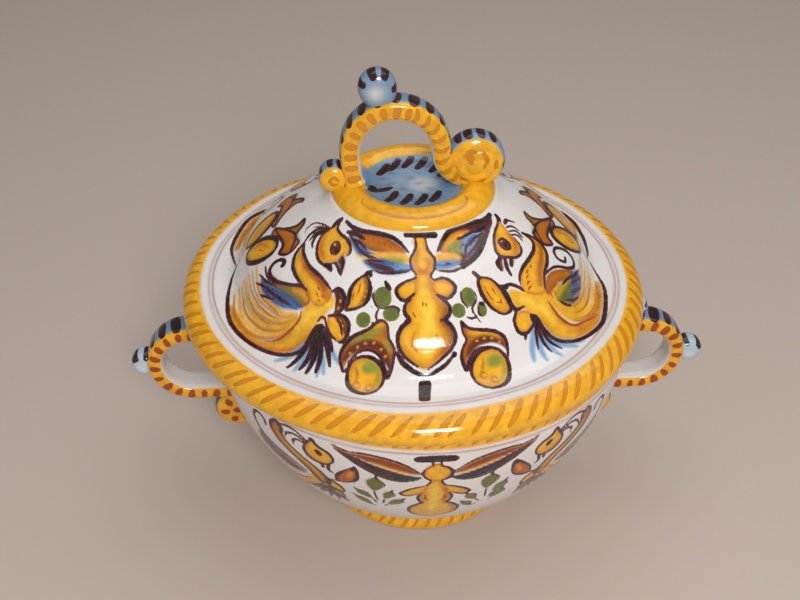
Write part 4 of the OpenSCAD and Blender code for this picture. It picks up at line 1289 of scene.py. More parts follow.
def left_bird(p):
    """A crested bird looking in, with an S-shaped neck, a curled wing and a sweeping tail."""
    # Tail
    p.fill("lemon", [(-122, 66), (-117, 80), (-108, 93), (-95, 104), (-77, 111), (-63, 106), (-62, 94),
        (-78, 92), (-92, 82), (-98, 70), (-108, 62)], soft=5, cover=0.55)
    p.fill("yellow", [(-121, 73), (-115.8, 85.8), (-110, 93.3), (-102.5, 100.8), (-94.2, 106.7), (-85, 111),
        (-75.8, 113), (-68.3, 112.4), (-61.7, 108.8), (-55, 103), (-62, 94), (-65, 97.5), (-70, 100.8),
        (-76.7, 103.3), (-84.2, 104.6), (-93, 102), (-104, 93), (-112, 82)], "ochre", 3.5, soft=1.2)
    p.tint("orange", 2.6, [(-106, 97), (-96, 104.6), (-84, 109.8), (-72, 111), (-62, 107)], 1.6, 0.75)
    for shift, colour, width in ((0, "ochre", 2.2), (3.4, "yellow", 3), (6.4, "ochre", 1.6),
            (9.6, "yellow", 3.4), (12.6, "ochre", 1.4), (15.6, "yellow", 3), (19, "ochre", 1.3),
            (22, "yellow", 3)):
        reach = 66 - 0.35 * shift + 5 * math.sin(shift)
        p.tint(colour, width, [(-119.5 + shift * 1.05, reach), (-113 + shift, 84 - shift * 0.3),
            (-99 + shift * 0.8, 98 - shift * 0.52), (-82 + shift * 0.3, 103 - shift * 0.5),
            (-66, 99 - shift * 0.2)], 0.45, 0.9)
    for shift in (1, 6, 11, 16, 20.6):
        p.stroke("ochre", 1.2, [(-117.6 + shift, 75 - shift * 0.5), (-111 + shift, 87 - shift * 0.4),
            (-98 + shift * 0.8, 99.4 - shift * 0.55), (-84 + shift * 0.3, 103 - shift * 0.55)], (0.3, 0.1))
    for shift in (4, 8, 12.5, 17, 21):
        p.tint("mauve", 0.8,
            [(-120 + shift, 60 + shift / 3), (-115.6 + shift, 76), (-107 + shift, 88 - shift / 3)], 0.4, 0.8)
    p.outline(2.7, [(-126.9, 40), (-127, 49), (-125.6, 57.5), (-123.4, 66.7), (-120, 76.7), (-115.8, 85.8),
        (-110, 93.6), (-102.5, 101), (-94.2, 106.9), (-85, 111.6), (-75.8, 113.8), (-68.3, 113.2),
        (-61.7, 109.4), (-56, 103.6)], ends=(0.5, 0.4))
    p.stroke("brick", 1.7,
        [(-63.3, 93.6), (-65, 97.6), (-70, 100.9), (-76.7, 103.4), (-84.2, 104.6), (-92, 103)], (0.5, 0.2))
    # Fan under the body
    for tip in ((-81.6, 117), (-70.4, 123.6), (-63.8, 126), (-58, 128), (-54.6, 126.6), (-45.8, 122.6)):
        p.tint("sky", 3.8, [(-57, 108), ((tip[0] - 57) / 2 + 0.5, 113), tip], 0.7, 0.9)
    p.outline(3.4, [(-55, 103), (-62, 110), (-74.4, 121.6)], [(-55, 103), (-60, 113), (-67.8, 123.4)],
        [(-54, 103), (-57.6, 114), (-64, 125.6)], [(-53.4, 103), (-55, 115), (-58.8, 125.6)],
        [(-52.6, 103), (-51, 113), (-51.2, 123.2)], [(-52.4, 103), (-49.4, 109), (-48.6, 116)],
        ends=(0.8, 0.55))
    # Body and chest
    p.fill("yellow", [(-62, 93), (-58, 90), (-52, 91), (-48.4, 88), (-45, 89.4), (-44.2, 93), (-49.6, 97.4),
        (-50, 101), (-53, 100.6), (-57, 104.6), (-62, 100)], soft=1)
    p.tint("pale_yellow", 4, [(-70, 102), (-62, 99), (-55, 95), (-47, 92)], 2, 0.7)
    p.fill("umber", [(-45, 84.6), (-41.4, 85), (-39.4, 89.4), (-40.2, 95), (-42.6, 97.8), (-46, 98.4),
        (-43.6, 93.4), (-44.6, 89)])
    p.strokes("ochre", 1.4, [(-42.4, 87.6), (-42.2, 88.4)], [(-41.6, 91.2), (-41.8, 92)],
        [(-42.6, 94.8), (-43, 95.4)], [(-41, 104), (-40.8, 104.8)], [(-42.6, 101.4), (-42, 102)], ends=0.9)
    p.fill("yellow", [(-48.6, 98.4), (-45, 98), (-42, 99), (-38.8, 101), (-37.8, 105.8), (-40, 110.6),
        (-43.3, 112.2), (-46.7, 110.6), (-49.2, 106.7)], "orange", 2.4)
    p.tint("umber", 3.6, [(-44, 99.6), (-40.8, 103), (-39.9, 108.6)], 0.9, 0.95)
    p.outline(2.4, [(-46, 86.4), (-42.6, 84.8), (-39.6, 89.2), (-40.4, 95), (-43, 97.9)],
        [(-48.4, 98.4), (-42, 98.8), (-38.4, 102), (-38, 106.4), (-40.2, 111), (-43.4, 112.6)], ends=0.5)
    p.outline(1.5, [(-50, 98.6), (-49.6, 103), (-47.4, 108.6), (-43.4, 112.4)],
        [(-42, 86), (-43.2, 91), (-44.4, 96)], [(-44, 99.8), (-42, 104), (-41.8, 109)],
        [(-54.4, 100.6), (-52, 98.4), (-50, 99.6)], ends=0.5)
    # Wing
    p.fill("ochre", [(-84, 66), (-80, 73), (-71.7, 77), (-64, 79.6), (-59, 84), (-58, 89.6), (-63.6, 91.4),
        (-70, 85), (-78, 79), (-84.6, 72)], "rust", 2.4)
    p.tint("olive", 3.4, [(-82, 71), (-75, 78), (-67, 84), (-62, 90)], 1.5, 0.85)
    p.tint("yellow", 2.4, [(-68, 81), (-62.6, 84), (-60.4, 88)], 1.2, 0.7)
    p.fill("deep_blue", [(-91, 68), (-86.6, 71), (-80, 76.4), (-72, 82), (-65, 88), (-62.6, 92), (-68, 91.6),
        (-76, 89), (-84, 83), (-90, 76)], soft=1)
    p.strokes("cobalt", 2, [(-89, 72), (-80, 78.6), (-66, 90)], [(-87, 76), (-79, 82), (-66, 91.4)],
        [(-84, 80.6), (-76, 86), (-66, 92)], ends=(0.3, 0.4))
    p.outline(1.6, [(-94.6, 69.6), (-88, 74), (-81, 79)], [(-92.4, 65.4), (-87, 71), (-78, 77.6)],
        [(-88.8, 61.6), (-86.6, 68), (-81, 73.4)], [(-91.4, 77.6), (-86, 80.4), (-80, 84)],
        [(-86, 76.8), (-79, 81.6), (-72, 86.4)], [(-82, 80), (-75, 85.6), (-68, 89.6)], ends=(0.7, 0.25))
    p.outline(2.6, [(-76.2, 64.8), (-75.2, 62.8), (-78.3, 60.8), (-83, 61.8), (-85.2, 65.8), (-83.3, 70),
        (-78.3, 74.2), (-71.7, 77.1), (-65, 79.4), (-60.4, 82)], ends=(0.8, 0.4))
    p.outline(3, [(-76.6, 64.9), (-75.8, 64.5)], ends=0.9)
    # Neck
    p.fill("yellow", [(-65.6, 56), (-67.4, 60), (-69, 66), (-66.7, 73.3), (-63.3, 78.3), (-59.6, 83.6),
        (-58, 89.6), (-52, 93), (-46.4, 89), (-46.9, 85), (-50, 80), (-54.2, 75), (-59.2, 70), (-62.5, 64.6),
        (-63.6, 59.6)], "ochre", 2.4)
    p.tint("orange", 4, [(-65, 62), (-60.4, 71), (-54.4, 77), (-50, 83), (-49, 89)], 1.6, 0.85)
    p.tint("rust", 2.4, [(-62.4, 68), (-56, 75.4), (-51.4, 82), (-51, 88)], 1.4, 0.7)
    p.outline(2.3,
        [(-64.6, 54), (-67.6, 57.8), (-69.4, 62), (-69.4, 68), (-66.7, 74), (-63.3, 79), (-59.6, 84)],
        [(-64.4, 54), (-64, 59.6), (-61.6, 65.4), (-58.4, 70.6), (-53.6, 75.6), (-49.6, 80.6), (-46.2, 85.6)],
        ends=(0.7, 0.3))
    p.strokes("brick", 1, [(-54, 82), (-53, 84)], [(-51.6, 83.6), (-50.6, 85.6)],
        [(-54.6, 85.6), (-53.4, 87.6)], [(-51.6, 87.4), (-50, 88.6)], [(-54, 89), (-52.4, 90.4)],
        ends=(0.8, 0.6))
    # Head, crest and beak
    p.fill("yellow", [(-43.6, 45.6), (-45, 49.6), (-42.6, 53.6), (-39.4, 57), (-37.3, 61), (-37, 65),
        (-38.4, 67.2), (-40.6, 66.8), (-40.6, 72), (-42.6, 70.4), (-46.7, 69.6), (-50.8, 69.8), (-54.2, 66.7),
        (-55.6, 61.7), (-55, 55.8), (-53, 51.4), (-50.4, 49.4), (-47.4, 47.6)], "ochre", 2.2)
    p.tint("orange", 3.2, [(-52, 53), (-53.6, 60), (-51, 66.6)], 1.6, 0.8)
    p.outline(1.9,
        [(-43.2, 45), (-45, 49.6), (-42.4, 53.8), (-39, 57.4), (-37, 61.4), (-36.8, 65.6), (-38.6, 67.6)],
        [(-50.6, 49), (-53.6, 51.4), (-55.6, 56), (-55.8, 62), (-54.2, 67), (-51, 70.2), (-46.8, 70.4),
        (-43.4, 69.8)], [(-41.2, 67.6), (-40.4, 71), (-41.4, 77.6)], ends=(0.6, 0.4))
    p.outline(3.2, [(-42.9, 44.6), (-45.6, 45.6), (-48.6, 48.4)], ends=(0.8, 0.4))
    p.fill("umber", [(-41.4, 66.4), (-39.2, 68.4), (-39.4, 73), (-41.4, 78), (-42.6, 73), (-44, 69.8)],
        "mauve", 1.2)
    p.fill("umber", [(-51, 69.8), (-47.4, 70.4), (-46, 74.6), (-49, 73.6)], "mauve", 1.2)
    p.fill("umber", arc((-45.2, 61.6), 2.5, 4, 0, 315, 9), "rust", 1.4, line=1.2)
    p.tint("lemon", 1, [(-46.2, 58.8), (-45.2, 59.6)], 0.4, 0.9)
    p.outline(2.9, [(-44.8, 62.2), (-44.4, 64)], ends=0.8)
    p.outline(3.2, [(-50.6, 70.6), (-48.4, 71.4), (-46.8, 74.4)], ends=(0.7, 0.5))
    p.outline(2, [(-44.4, 71), (-42.6, 74.4), (-41.6, 77.6)], ends=(0.8, 0.6))
    p.outline(1.9, [(-50, 48.6), (-56.4, 46.8), (-61.7, 49.4), (-64.6, 54)],
        [(-50, 49), (-57.6, 49.4), (-61.4, 53.6)], [(-51, 49.6), (-57, 51), (-59, 55), (-58.8, 58.6)],
        ends=(0.9, 0.3))
    p.outline(1.2, [(-49.6, 48), (-55, 44), (-60.4, 42), (-64.4, 44), (-65.2, 47.4)],
        [(-49.8, 48.4), (-55.6, 45.8), (-60.6, 44.8)], ends=(0.8, 0.3))


def right_bird(p):
    """The bird on the right, with its neck arched the other way and a tightly curled wing."""
    # Tail
    p.fill("lemon", [(122, 62), (121, 72), (116, 84), (107, 97), (96, 104), (82, 108), (68, 104), (68, 94),
        (82, 92), (94, 88), (101, 76), (104, 66), (112, 58)], soft=5, cover=0.55)
    p.fill("yellow", [(123, 66), (119, 79), (113, 89), (106.5, 99), (98, 106), (90, 109.6), (81.7, 111.2),
        (73.3, 110), (65.8, 106), (59, 101), (60, 93), (67, 92), (75, 97.5), (83, 100.4), (92, 100.6),
        (99, 97.4), (106.7, 92), (113, 82), (117, 72)], "ochre", 3.5, soft=1.2)
    p.tint("orange", 2.6, [(107, 93), (101, 99.6), (92, 104.6), (84, 106)], 1.8, 0.7)
    for shift, colour, width in ((0, "ochre", 2.4), (3.4, "yellow", 3), (6.4, "ochre", 1.8),
            (9.6, "yellow", 3.4), (12.6, "ochre", 1.5), (15.6, "yellow", 3), (19, "ochre", 1.4)):
        reach = 62 - 0.3 * shift + 5 * math.sin(shift + 2)
        p.tint(colour, width, [(120 - shift, reach), (115.4 - shift, 80 - shift * 0.2),
            (106 - shift * 0.9, 92 - shift * 0.4), (93 - shift * 0.5, 98 - shift * 0.55),
            (76, 95 - shift * 0.3)], 0.5, 0.9)
    for shift in (1, 5.6, 10.4, 15):
        p.stroke("ochre", 1.2, [(118 - shift, 68 - shift * 0.4), (113.6 - shift, 82 - shift * 0.3),
            (104 - shift * 0.9, 93 - shift * 0.45), (90 - shift * 0.5, 98.6 - shift * 0.55)], (0.3, 0.1))
    for shift in (2, 6, 10.5, 15):
        p.tint("mauve", 0.8,
            [(121 - shift, 52 + shift / 3), (117.4 - shift, 68), (110 - shift, 82 - shift / 3)], 0.4, 0.8)
    p.outline(2.7, [(126, 44), (125.6, 56.7), (124.2, 69), (120.4, 79), (114.8, 89.4), (108, 99.8),
        (100.4, 105.8), (91.7, 110.2), (81.7, 112.1), (73.3, 110.9), (65.8, 107), (60, 101.6)],
        ends=(0.3, 0.6))
    p.stroke("brick", 1.8,
        [(67.6, 92.4), (71, 95.6), (76, 98.6), (83, 100.8), (91, 101.2), (98.6, 97.8), (107, 94)], (0.4, 0.5))
    # Fan
    for tip in ((59.4, 124), (66.6, 123.4), (75.4, 120.6), (86, 115.4), (91, 111.8)):
        p.tint("sky", 4.4, [(60, 105), ((tip[0] + 60) / 2 - 1, 112), tip], 0.7, 0.9)
    p.outline(2.3, [(58.6, 102), (60.6, 110), (63, 117.6)], [(59.4, 102), (64, 111), (71, 118.6)],
        [(60.6, 102.6), (68, 111), (77.6, 116.4)], ends=(1, 0.5))
    p.outline(5.4, [(56.6, 101.6), (60, 104), (62.4, 107)], ends=(0.5, 0.4))
    # Chest and petals
    p.fill("yellow", [(44, 90), (47.4, 88.4), (52, 89), (58, 88), (66, 88), (70, 93), (68, 99), (60, 102),
        (57, 100.4), (52, 98.6), (47, 98.4)], soft=0.9)
    p.fill("yellow", [(48.6, 100), (54, 99), (57.6, 101), (58, 104), (55.8, 108.6), (52.5, 110.4),
        (48.3, 109.6), (46.2, 105)], "orange", 2)
    p.tint("pale_yellow", 4, [(50, 93), (58, 94.6), (66, 98), (74, 103)], 2, 0.7)
    p.outline(2.2, [(40.4, 87.4), (46, 85.8), (51.2, 87.4), (53, 89)],
        [(41, 87.8), (43.3, 91.7), (45.4, 97), (48, 98.8), (53, 96.4)],
        [(47.6, 99.4), (46, 104.8), (48.2, 109.6), (52.4, 111), (55.8, 109), (58.6, 104), (57.4, 101)],
        ends=(0.7, 0.4))
    p.outline(2.2, [(53.4, 110.4), (53.8, 113.4)], ends=(0.8, 0.7))
    p.outline(2.8, [(40.6, 87.4), (44, 87.6)], ends=(0.9, 0.4))
    # Wing
    p.fill("yellow",
        [(66, 88), (74, 82), (84, 82), (96, 86), (103, 78), (101, 91), (90, 98.6), (78, 97.6), (68, 93)],
        soft=1)
    p.fill("ochre",
        [(67, 84), (70, 77.4), (76, 73.6), (84, 71.4), (90.6, 70.4), (88, 77), (78, 80), (72, 86), (68, 89)],
        "rust", 2.6)
    p.fill("olive", [(74, 88), (79, 79.6), (87, 74.6), (93, 72), (96, 78), (91, 88), (83, 91), (76, 91)],
        soft=1.6)
    p.tint("yellow", 2.6, [(76, 88), (80, 82), (86, 77)], 1.4, 0.7)
    p.fill("deep_blue", [(88, 74), (94, 69), (100, 72), (98.4, 80), (94, 86.4), (87.4, 89.6), (88, 83)],
        soft=1.4)
    p.strokes("cobalt", 2, [(99.6, 73), (93, 77.6), (87, 82)], [(97.6, 79), (91, 83.6), (84, 86.4)],
        ends=(0.7, 0.3))
    p.outline(1.7, [(99.8, 71.6), (94, 75), (88, 78.6)], [(98.6, 78), (92, 81.6), (86, 84.4)],
        [(95.6, 84.4), (89, 87.6), (81, 89.4)], [(88, 90.8), (82, 91.6), (75, 90.6)],
        [(97.6, 67.8), (93.6, 71.6), (89, 75.4)], [(90, 73.6), (84, 77.4), (79, 82)], ends=(0.7, 0.25))
    p.outline(2.3, [(87.2, 63.4), (85.8, 66.4), (81, 65.9), (79.1, 62.6), (80.8, 59.2), (85.8, 57.8),
        (91.7, 59.2), (94.2, 63.3), (92.5, 67.8), (86.7, 70), (79.2, 70.9), (73.3, 73.4), (68.3, 77.6)],
        ends=(0.8, 0.5))
    p.strokes("brick", 1.2, [(70, 83), (71, 85.6)], [(72.6, 80.6), (73.4, 83)], [(75.6, 79), (76, 81.6)],
        [(78.4, 77), (78.6, 79.6)], [(70, 87.6), (71.6, 90)], [(73, 86), (74, 88.4)], ends=(0.8, 0.6))
    # Neck
    p.fill("yellow", [(62, 53.8), (66, 55), (70.6, 58.4), (72.4, 63.3), (71.4, 69.2), (68.8, 74.2),
        (67.2, 80), (66.6, 88), (60, 90), (53, 89), (52, 85.8), (52, 80.8), (55.4, 75), (60.4, 69.2),
        (64.6, 63.3), (65, 58.4)], "ochre", 2.4)
    p.tint("orange", 3.6, [(66.6, 57), (69.4, 62), (67.4, 69), (64.4, 76), (63.4, 84)], 1.6, 0.85)
    p.tint("rust", 1.8, [(69.6, 60), (69, 67), (65.8, 75), (65, 84)], 1.2, 0.7)
    p.outline(2.4,
        [(60, 53.2), (66, 54.8), (71, 58.4), (73, 63.6), (71.8, 69.6), (69, 75), (67.2, 80.6), (66.6, 86.4)],
        [(60, 53.4), (65.2, 57.6), (64.4, 63.4), (60, 69.4), (55, 75), (51.8, 80.8), (51.6, 86)],
        ends=(0.6, 0.3))
    p.strokes("brick", 1.3, [(56.4, 78.4), (58, 76)], [(55.4, 81.6), (57.4, 79.6)],
        [(55.4, 84.8), (57.4, 82.8)], [(56, 87.6), (58, 85.4)], [(59.4, 75), (60.4, 73)], ends=(0.8, 0.5))
    # Head, crest and beak
    p.fill("yellow", [(45.9, 46), (47.8, 48.4), (50.2, 52.6), (53.2, 57.5), (55.8, 61.7), (55.6, 65.8),
        (52.5, 69), (47.5, 69.8), (43, 69.8), (40.6, 66.7), (41, 60), (42.7, 55), (45.4, 49.6)], "ochre", 2.2)
    p.tint("orange", 3.4, [(50.6, 56), (53.4, 61.4), (51.4, 67)], 1.6, 0.85)
    p.outline(1.9, [(46, 45.6), (45.8, 49.2), (42.6, 55), (40.8, 60), (40.4, 66.8), (42.8, 70.2),
        (47.4, 70.4), (52.5, 69.6), (56, 66), (56, 61.6), (53.4, 57.4)], ends=(0.6, 0.4))
    p.fill("umber", [(42, 69.8), (44.2, 70.6), (43.2, 74), (43.4, 77), (42, 78.6), (40, 75)], "mauve", 1.2)
    p.fill("umber", [(47, 70), (50.4, 70), (49.6, 74), (48, 75.4)], "mauve", 1.2)
    p.outline(2.6, [(45.4, 44.6), (46.8, 45.6), (47.6, 48)], ends=(0.8, 0.4))
    p.fill("umber", arc((46.4, 62.6), 2.8, 2.9, 0, 315, 9), "rust", 1.2)
    p.tint("lemon", 0.9, [(45, 61.2), (45.4, 60.8)], 0.4, 0.8)
    p.outline(2.9, [(47, 62.2), (47.2, 63.4)], ends=0.95)
    p.outline(1.6,
        [(43.6, 60.6), (46.4, 59.2), (49.4, 61.6), (49, 65), (45.6, 65.4), (43.4, 62.8), (43.6, 60.6)],
        ends=0.9)
    p.outline(1.5, [(50, 49.6), (53, 46.6), (57.4, 47)], [(50.4, 51.6), (54.4, 50), (58.4, 52.2)],
        [(51.4, 54), (56, 53), (59.8, 57)], [(52, 56), (56, 55.6), (58.8, 59)],
        [(49.6, 48.6), (51, 46.6), (53, 45.4)], ends=(0.6, 0.4))
    p.outline(2.4, [(42.6, 70.4), (40, 74.6), (41.6, 78.2)], [(45, 70.6), (45, 76), (46.8, 80.6)],
        [(48.6, 70.6), (48, 75.4)], ends=(0.8, 0.7))


def bowl_ornament(painting):
    """The same subject on the bowl's wall, drawn more loosely: baluster, birds, sprigs and fruit."""
    bowl_baluster(painting)
    bowl_sprigs(painting)
    for side in (-1, 1):
        bowl_bird(painting, side)


def bowl_baluster(p):
    """Baluster with a thick bar, rust and dark wings, and yellow arms."""
    for side in (-1, 1):
        p.turn_over(side)
        p.fill("rust", [(49, 14), (42, 16.6), (33, 16.4), (24, 17.6), (16, 21), (10, 26), (7, 29.4), (16, 28),
            (26, 24), (36, 20.6), (45, 18.4)], "orange", 1.8)
        p.fill(tone("teal") * 0.3, [(47, 17.4), (40, 24), (33, 29.6), (25, 34), (18, 36), (11, 35), (7, 32),
            (15, 29.6), (26, 25), (37, 20.8)])
        p.outline(1.7, [(49, 13.8), (42, 16.2), (33, 15.8), (24, 17), (16, 20.4), (10, 25.6), (7, 28.6)],
            [(48, 16.4), (40, 23.6), (33, 29.2), (25, 34.4), (17, 36.4), (10, 34.6), (7, 31)],
            [(44, 18.6), (36, 21.6), (28, 26)], [(36, 25), (28, 29), (20, 33)], ends=(0.5, 0.4))
        p.outline(2.2, [(38, 21.8), (30, 26.4), (22, 31)], [(27, 26), (20, 30), (12, 33)])
        p.tint("yellow", 1.6, [(30, 22), (20, 26), (11, 29.4)], 1, 0.85)
        arm = [(4, 40), (10, 42.6), (15, 46.4), (17.6, 50.6), (13.6, 52.4), (8.6, 49.4), (4, 48)]
        p.fill("yellow", arm, "orange" if side > 0 else "ochre", 2.4)
        p.outline(1.8, arm[:6], ends=(0.4, 0.5))
        p.outline(2.2, [(7, 49), (8.8, 54), (7.6, 59.4), (6.4, 61.4), (10.6, 65.4), (13.6, 71), (13.4, 78),
            (10, 84.4), (3, 89.6)], ends=(0.5, 0.3))
        p.outline(1.5, [(2.4, 34.6), (3.4, 38), (5, 40.6)], ends=0.35)
    p.fill("yellow", [(-2, 34), (2, 34), (4.6, 41), (7.6, 50), (8, 56), (6, 61), (10.4, 66), (13, 72),
        (12.6, 79), (8, 86), (0, 90.6), (-8, 86), (-12.6, 79), (-13, 72), (-10.4, 66), (-6, 61), (-8, 56),
        (-7.6, 50), (-4.6, 41)], "ochre", 3.4)
    p.tint("orange", 2.6, [(4.4, 43), (6, 52), (5, 60)], 1.2, 0.7)
    p.tint("rust", 1.8, [(9.4, 68), (11.4, 74), (9.4, 80)], 1.2, 0.6)
    p.tint("pale_yellow", 5, [(-1, 40), (0, 54), (-1, 68), (0, 82)], 2.5, 0.8)
    p.fill("yellow",
        [(-2, 20), (1.6, 20), (6, 24), (7, 29), (4.6, 34), (0, 36), (-5, 33.6), (-6.6, 28), (-5, 23)],
        "orange", 2.6)
    p.outline(2, arc((0.4, 28.4), 7, 6.8, -70, 75, 8), ends=0.5)
    p.outline(1.4, arc((0.4, 28.4), 6.8, 6.8, 105, 250, 8), ends=0.5)
    p.outline(1.3, [(-2.4, 18), (-1.6, 22)], [(1.8, 18), (1.6, 22)], ends=0.7)
    p.outline(5.4, [(-8.6, 16.2), (0, 15.8), (7.4, 16.2)], ends=(0.85, 0.9))
    p.strokes("brick", 1.6, [(-4.6, 50), (-5, 55), (-3, 59)], [(4.4, 50), (5, 55), (3.2, 59)], ends=0.35)


def bowl_sprigs(p):
    """Olive sprigs with pointed leaves, and a bud on each side."""
    leaves = (((-30, 43), 4.6, 7.5, 8), ((-24, 54), 2.9, 5.6, 22), ((-36.6, 57), 3, 5.8, -42),
        ((-20.6, 62.6), 3, 6.6, 40), ((-38, 67), 3, 6.8, -38), ((27, 43.6), 4.8, 7.6, 4),
        ((34, 53), 3.6, 6.2, 25), ((19.6, 59), 3, 5.6, -30), ((34.6, 62.6), 4.2, 5.6, 20),
        ((18.4, 69), 2.8, 5.4, -35))
    for (x, y), half_wide, half_long, lean in leaves:
        a = np.radians(lean)
        axis = np.array((np.sin(a), -np.cos(a)))
        side = np.array((np.cos(a), np.sin(a)))
        tip = np.array((x, y)) + axis * half_long
        root = np.array((x, y)) - axis * half_long
        outline = [tip, (x, y) + side * half_wide + axis * 1.5, root, (x, y) - side * half_wide + axis * 1.5]
        p.fill("olive", outline, tone("olive") * 0.5, 1.6)
        p.outline(1.7, [tip - axis, tip + axis * 2.4], ends=(0.9, 0.3))
        p.outline(1, [tip, np.array((x, y)) + side * (half_wide + 0.2) + axis * 1.5, root], ends=(0.7, 0.5))
        p.outline(1.4, [root, (root[0] * 0.5 + np.sign(x) * 14.5, root[1] * 0.4 + 43)], ends=(0.6, 0.7))
    for side in (-1, 1):
        p.turn_over(side)
        bud = [(39, 29.6), (38, 35), (39.4, 42), (44, 46.6), (50, 48.6), (49.4, 42), (45, 35.4)]
        p.fill("orange", bud, "rust", 2.4, line=1.7)
        p.tint("yellow", 2, [(41, 35), (43.4, 41)], 1.2, 0.8)
        p.outline(2.4, [(39, 29), (40.6, 33)], ends=(0.7, 0.4))
        p.outline(1.7, [(50, 48.6), (55, 50.4), (58, 53)], ends=(0.5, 0.6))


def bowl_bird(p, side):
    """A crested bird on the bowl's wall, its tail sweeping out and down."""
    p.turn_over(side)
    head = [(59.6, 15), (61.6, 19), (64.6, 23.6), (65, 29), (62, 33.4), (56.6, 34.6), (51.4, 32), (49.4, 27),
        (51.6, 22.4), (57, 19.4)]
    neck = [(80, 14), (84, 18), (84.6, 24), (82, 31), (76, 37.6), (70, 43.6), (65.6, 50), (62, 58), (56, 56),
        (56.6, 49), (61, 42), (68, 35.6), (75, 29), (78, 23), (77, 18)]
    tail = [(62, 60), (70, 70), (82, 79), (96, 83), (110, 80), (120, 70), (126, 56), (129, 40), (124, 50),
        (116, 62), (104, 70), (90, 71), (76, 65), (66, 56)]
    p.fill("lemon", [(70, 60), (84, 68), (100, 68), (113, 58), (119, 42), (108, 36), (98, 44), (84, 52)],
        soft=5, cover=0.5)
    p.fill("yellow", tail, "ochre", 3.5)
    for rise in (0, 5, 10):
        p.tint("ochre", 2.4, [(118, 60 - rise), (108, 69 - rise), (92, 72 - rise), (77, 66 - rise * 0.7)],
            1.6, 0.6)
    p.outline(2.5, [(130, 36), (128, 50), (122, 66), (111, 79), (96, 84), (82, 80), (70, 71), (61, 60)],
        ends=(0.4, 0.5))
    p.stroke("brick", 1.8, [(66, 56), (76, 65), (90, 71), (104, 69), (114, 61)])
    for spread in range(5):
        foot = np.array((50 + spread * 6.5, 79 + 3 * np.sin(spread)))
        p.strokes("cobalt", 2.8, [(60, 64), (foot + (58, 66)) / 2, foot], ends=(0.6, 0.8))
        p.outline(2.4, [(59, 62), foot * (0.98, 0.96)], ends=(0.8, 0.5))
    for lobe in (((57, 50), (50, 54.6), (48.4, 60), (52, 64), (57, 60)),
            ((56, 60), (50.4, 66), (51, 72), (56.6, 74), (60, 66))):
        p.fill("yellow", lobe, "rust", 2.6, line=1.8)
    p.fill("yellow", [(56, 50), (64, 50), (70, 60), (64, 66), (56, 62)], soft=1.4)
    p.fill("ochre", neck, "umber", 2.6, line=1.9)
    p.tint("yellow", 2, [(80, 24), (74, 33.6), (65, 42), (60, 52)], 1.1, 0.9)
    wing = [(89, 24), (89, 19.6), (93, 17), (97, 21), (97, 30), (93.4, 37), (86, 42), (77, 46), (69, 52)]
    p.fill("deep_blue", [(96, 34), (100, 42), (98, 52), (88, 58), (76, 58), (70, 54), (80, 46), (90, 41)],
        soft=1.4)
    p.tint("ochre", 4.5, [(94, 38), (85, 46), (74, 52)], 1.6, 0.85)
    p.outline(2.4, wing, ends=(0.8, 0.5))
    for reach in ((101, 41), (101, 49), (95, 55), (87, 59)):
        p.outline(1.7, [reach, ((reach[0] + 74) / 2 - 1, (reach[1] + 55) / 2), (74, 55)], ends=(0.7, 0.3))
    p.fill("yellow", head, "ochre", 2.2, line=1.8)
    p.tint("orange", 2.6, np.array(head[3:6]) * (0.98, 0.97), 1.4, 0.8)
    p.outline(4, [(57.2, 24.6), (56.6, 26)], ends=0.9)
    p.outline(2.2, [(52.4, 33), (53.4, 38.6), (51.4, 41)], [(56, 34.6), (56.6, 38.6)], ends=(0.8, 0.5))
    p.outline(1.8, [(62, 19), (69, 14), (76, 14.4), (81, 19)],
        [(62.6, 20.4), (69, 17.6), (74, 19.6), (76, 24)], [(63, 22), (68, 21), (71, 23.6), (71, 27.4)],
        ends=(0.8, 0.3))
    centre = np.array((150, 36))
    p.fill("yellow", arc(centre, 9 * side, 12, 0, 330, 12), "ochre", 3.6, line=2.3)
    for mark in ([(-3, -4), (-1, 1), (-2, 6)], [(3, -2), (2, 4)]):
        p.strokes("brick", 1.2, centre + np.array(mark) * (side, 1))
    leaf = [(138, 58), (140, 50), (148, 52), (156, 51), (162, 56), (168, 66), (158, 62), (150, 68), (144, 62)]
    p.fill("ochre", leaf, "umber", 3, line=1.7)
    p.tint("olive", 3.4, leaf[2:7:2], 1.5, 0.9)


# ---- Stage ----

class TureenStage(bpy.types.PropertyGroup):
    floor: glaze_colour("Floor", "Colour of the paper sweep", "#c3b5ab")
    key: bpy.props.FloatProperty(name="Key light", description="Power of the key light in watts", default=9.4,
        min=0)
    fill: bpy.props.FloatProperty(name="Top light", description="Power of the wide top light in watts",
        default=7.4, min=0)
    catch: bpy.props.FloatProperty(name="Catch light", description="Power of the small lamp that glints",
        default=0.25, min=0)
    sky: bpy.props.FloatProperty(name="Room light", description="Strength of the even room light",
        default=0.34, min=0)
    lens: bpy.props.FloatProperty(name="Lens", description="Focal length in millimetres", default=45.0,
        min=10)


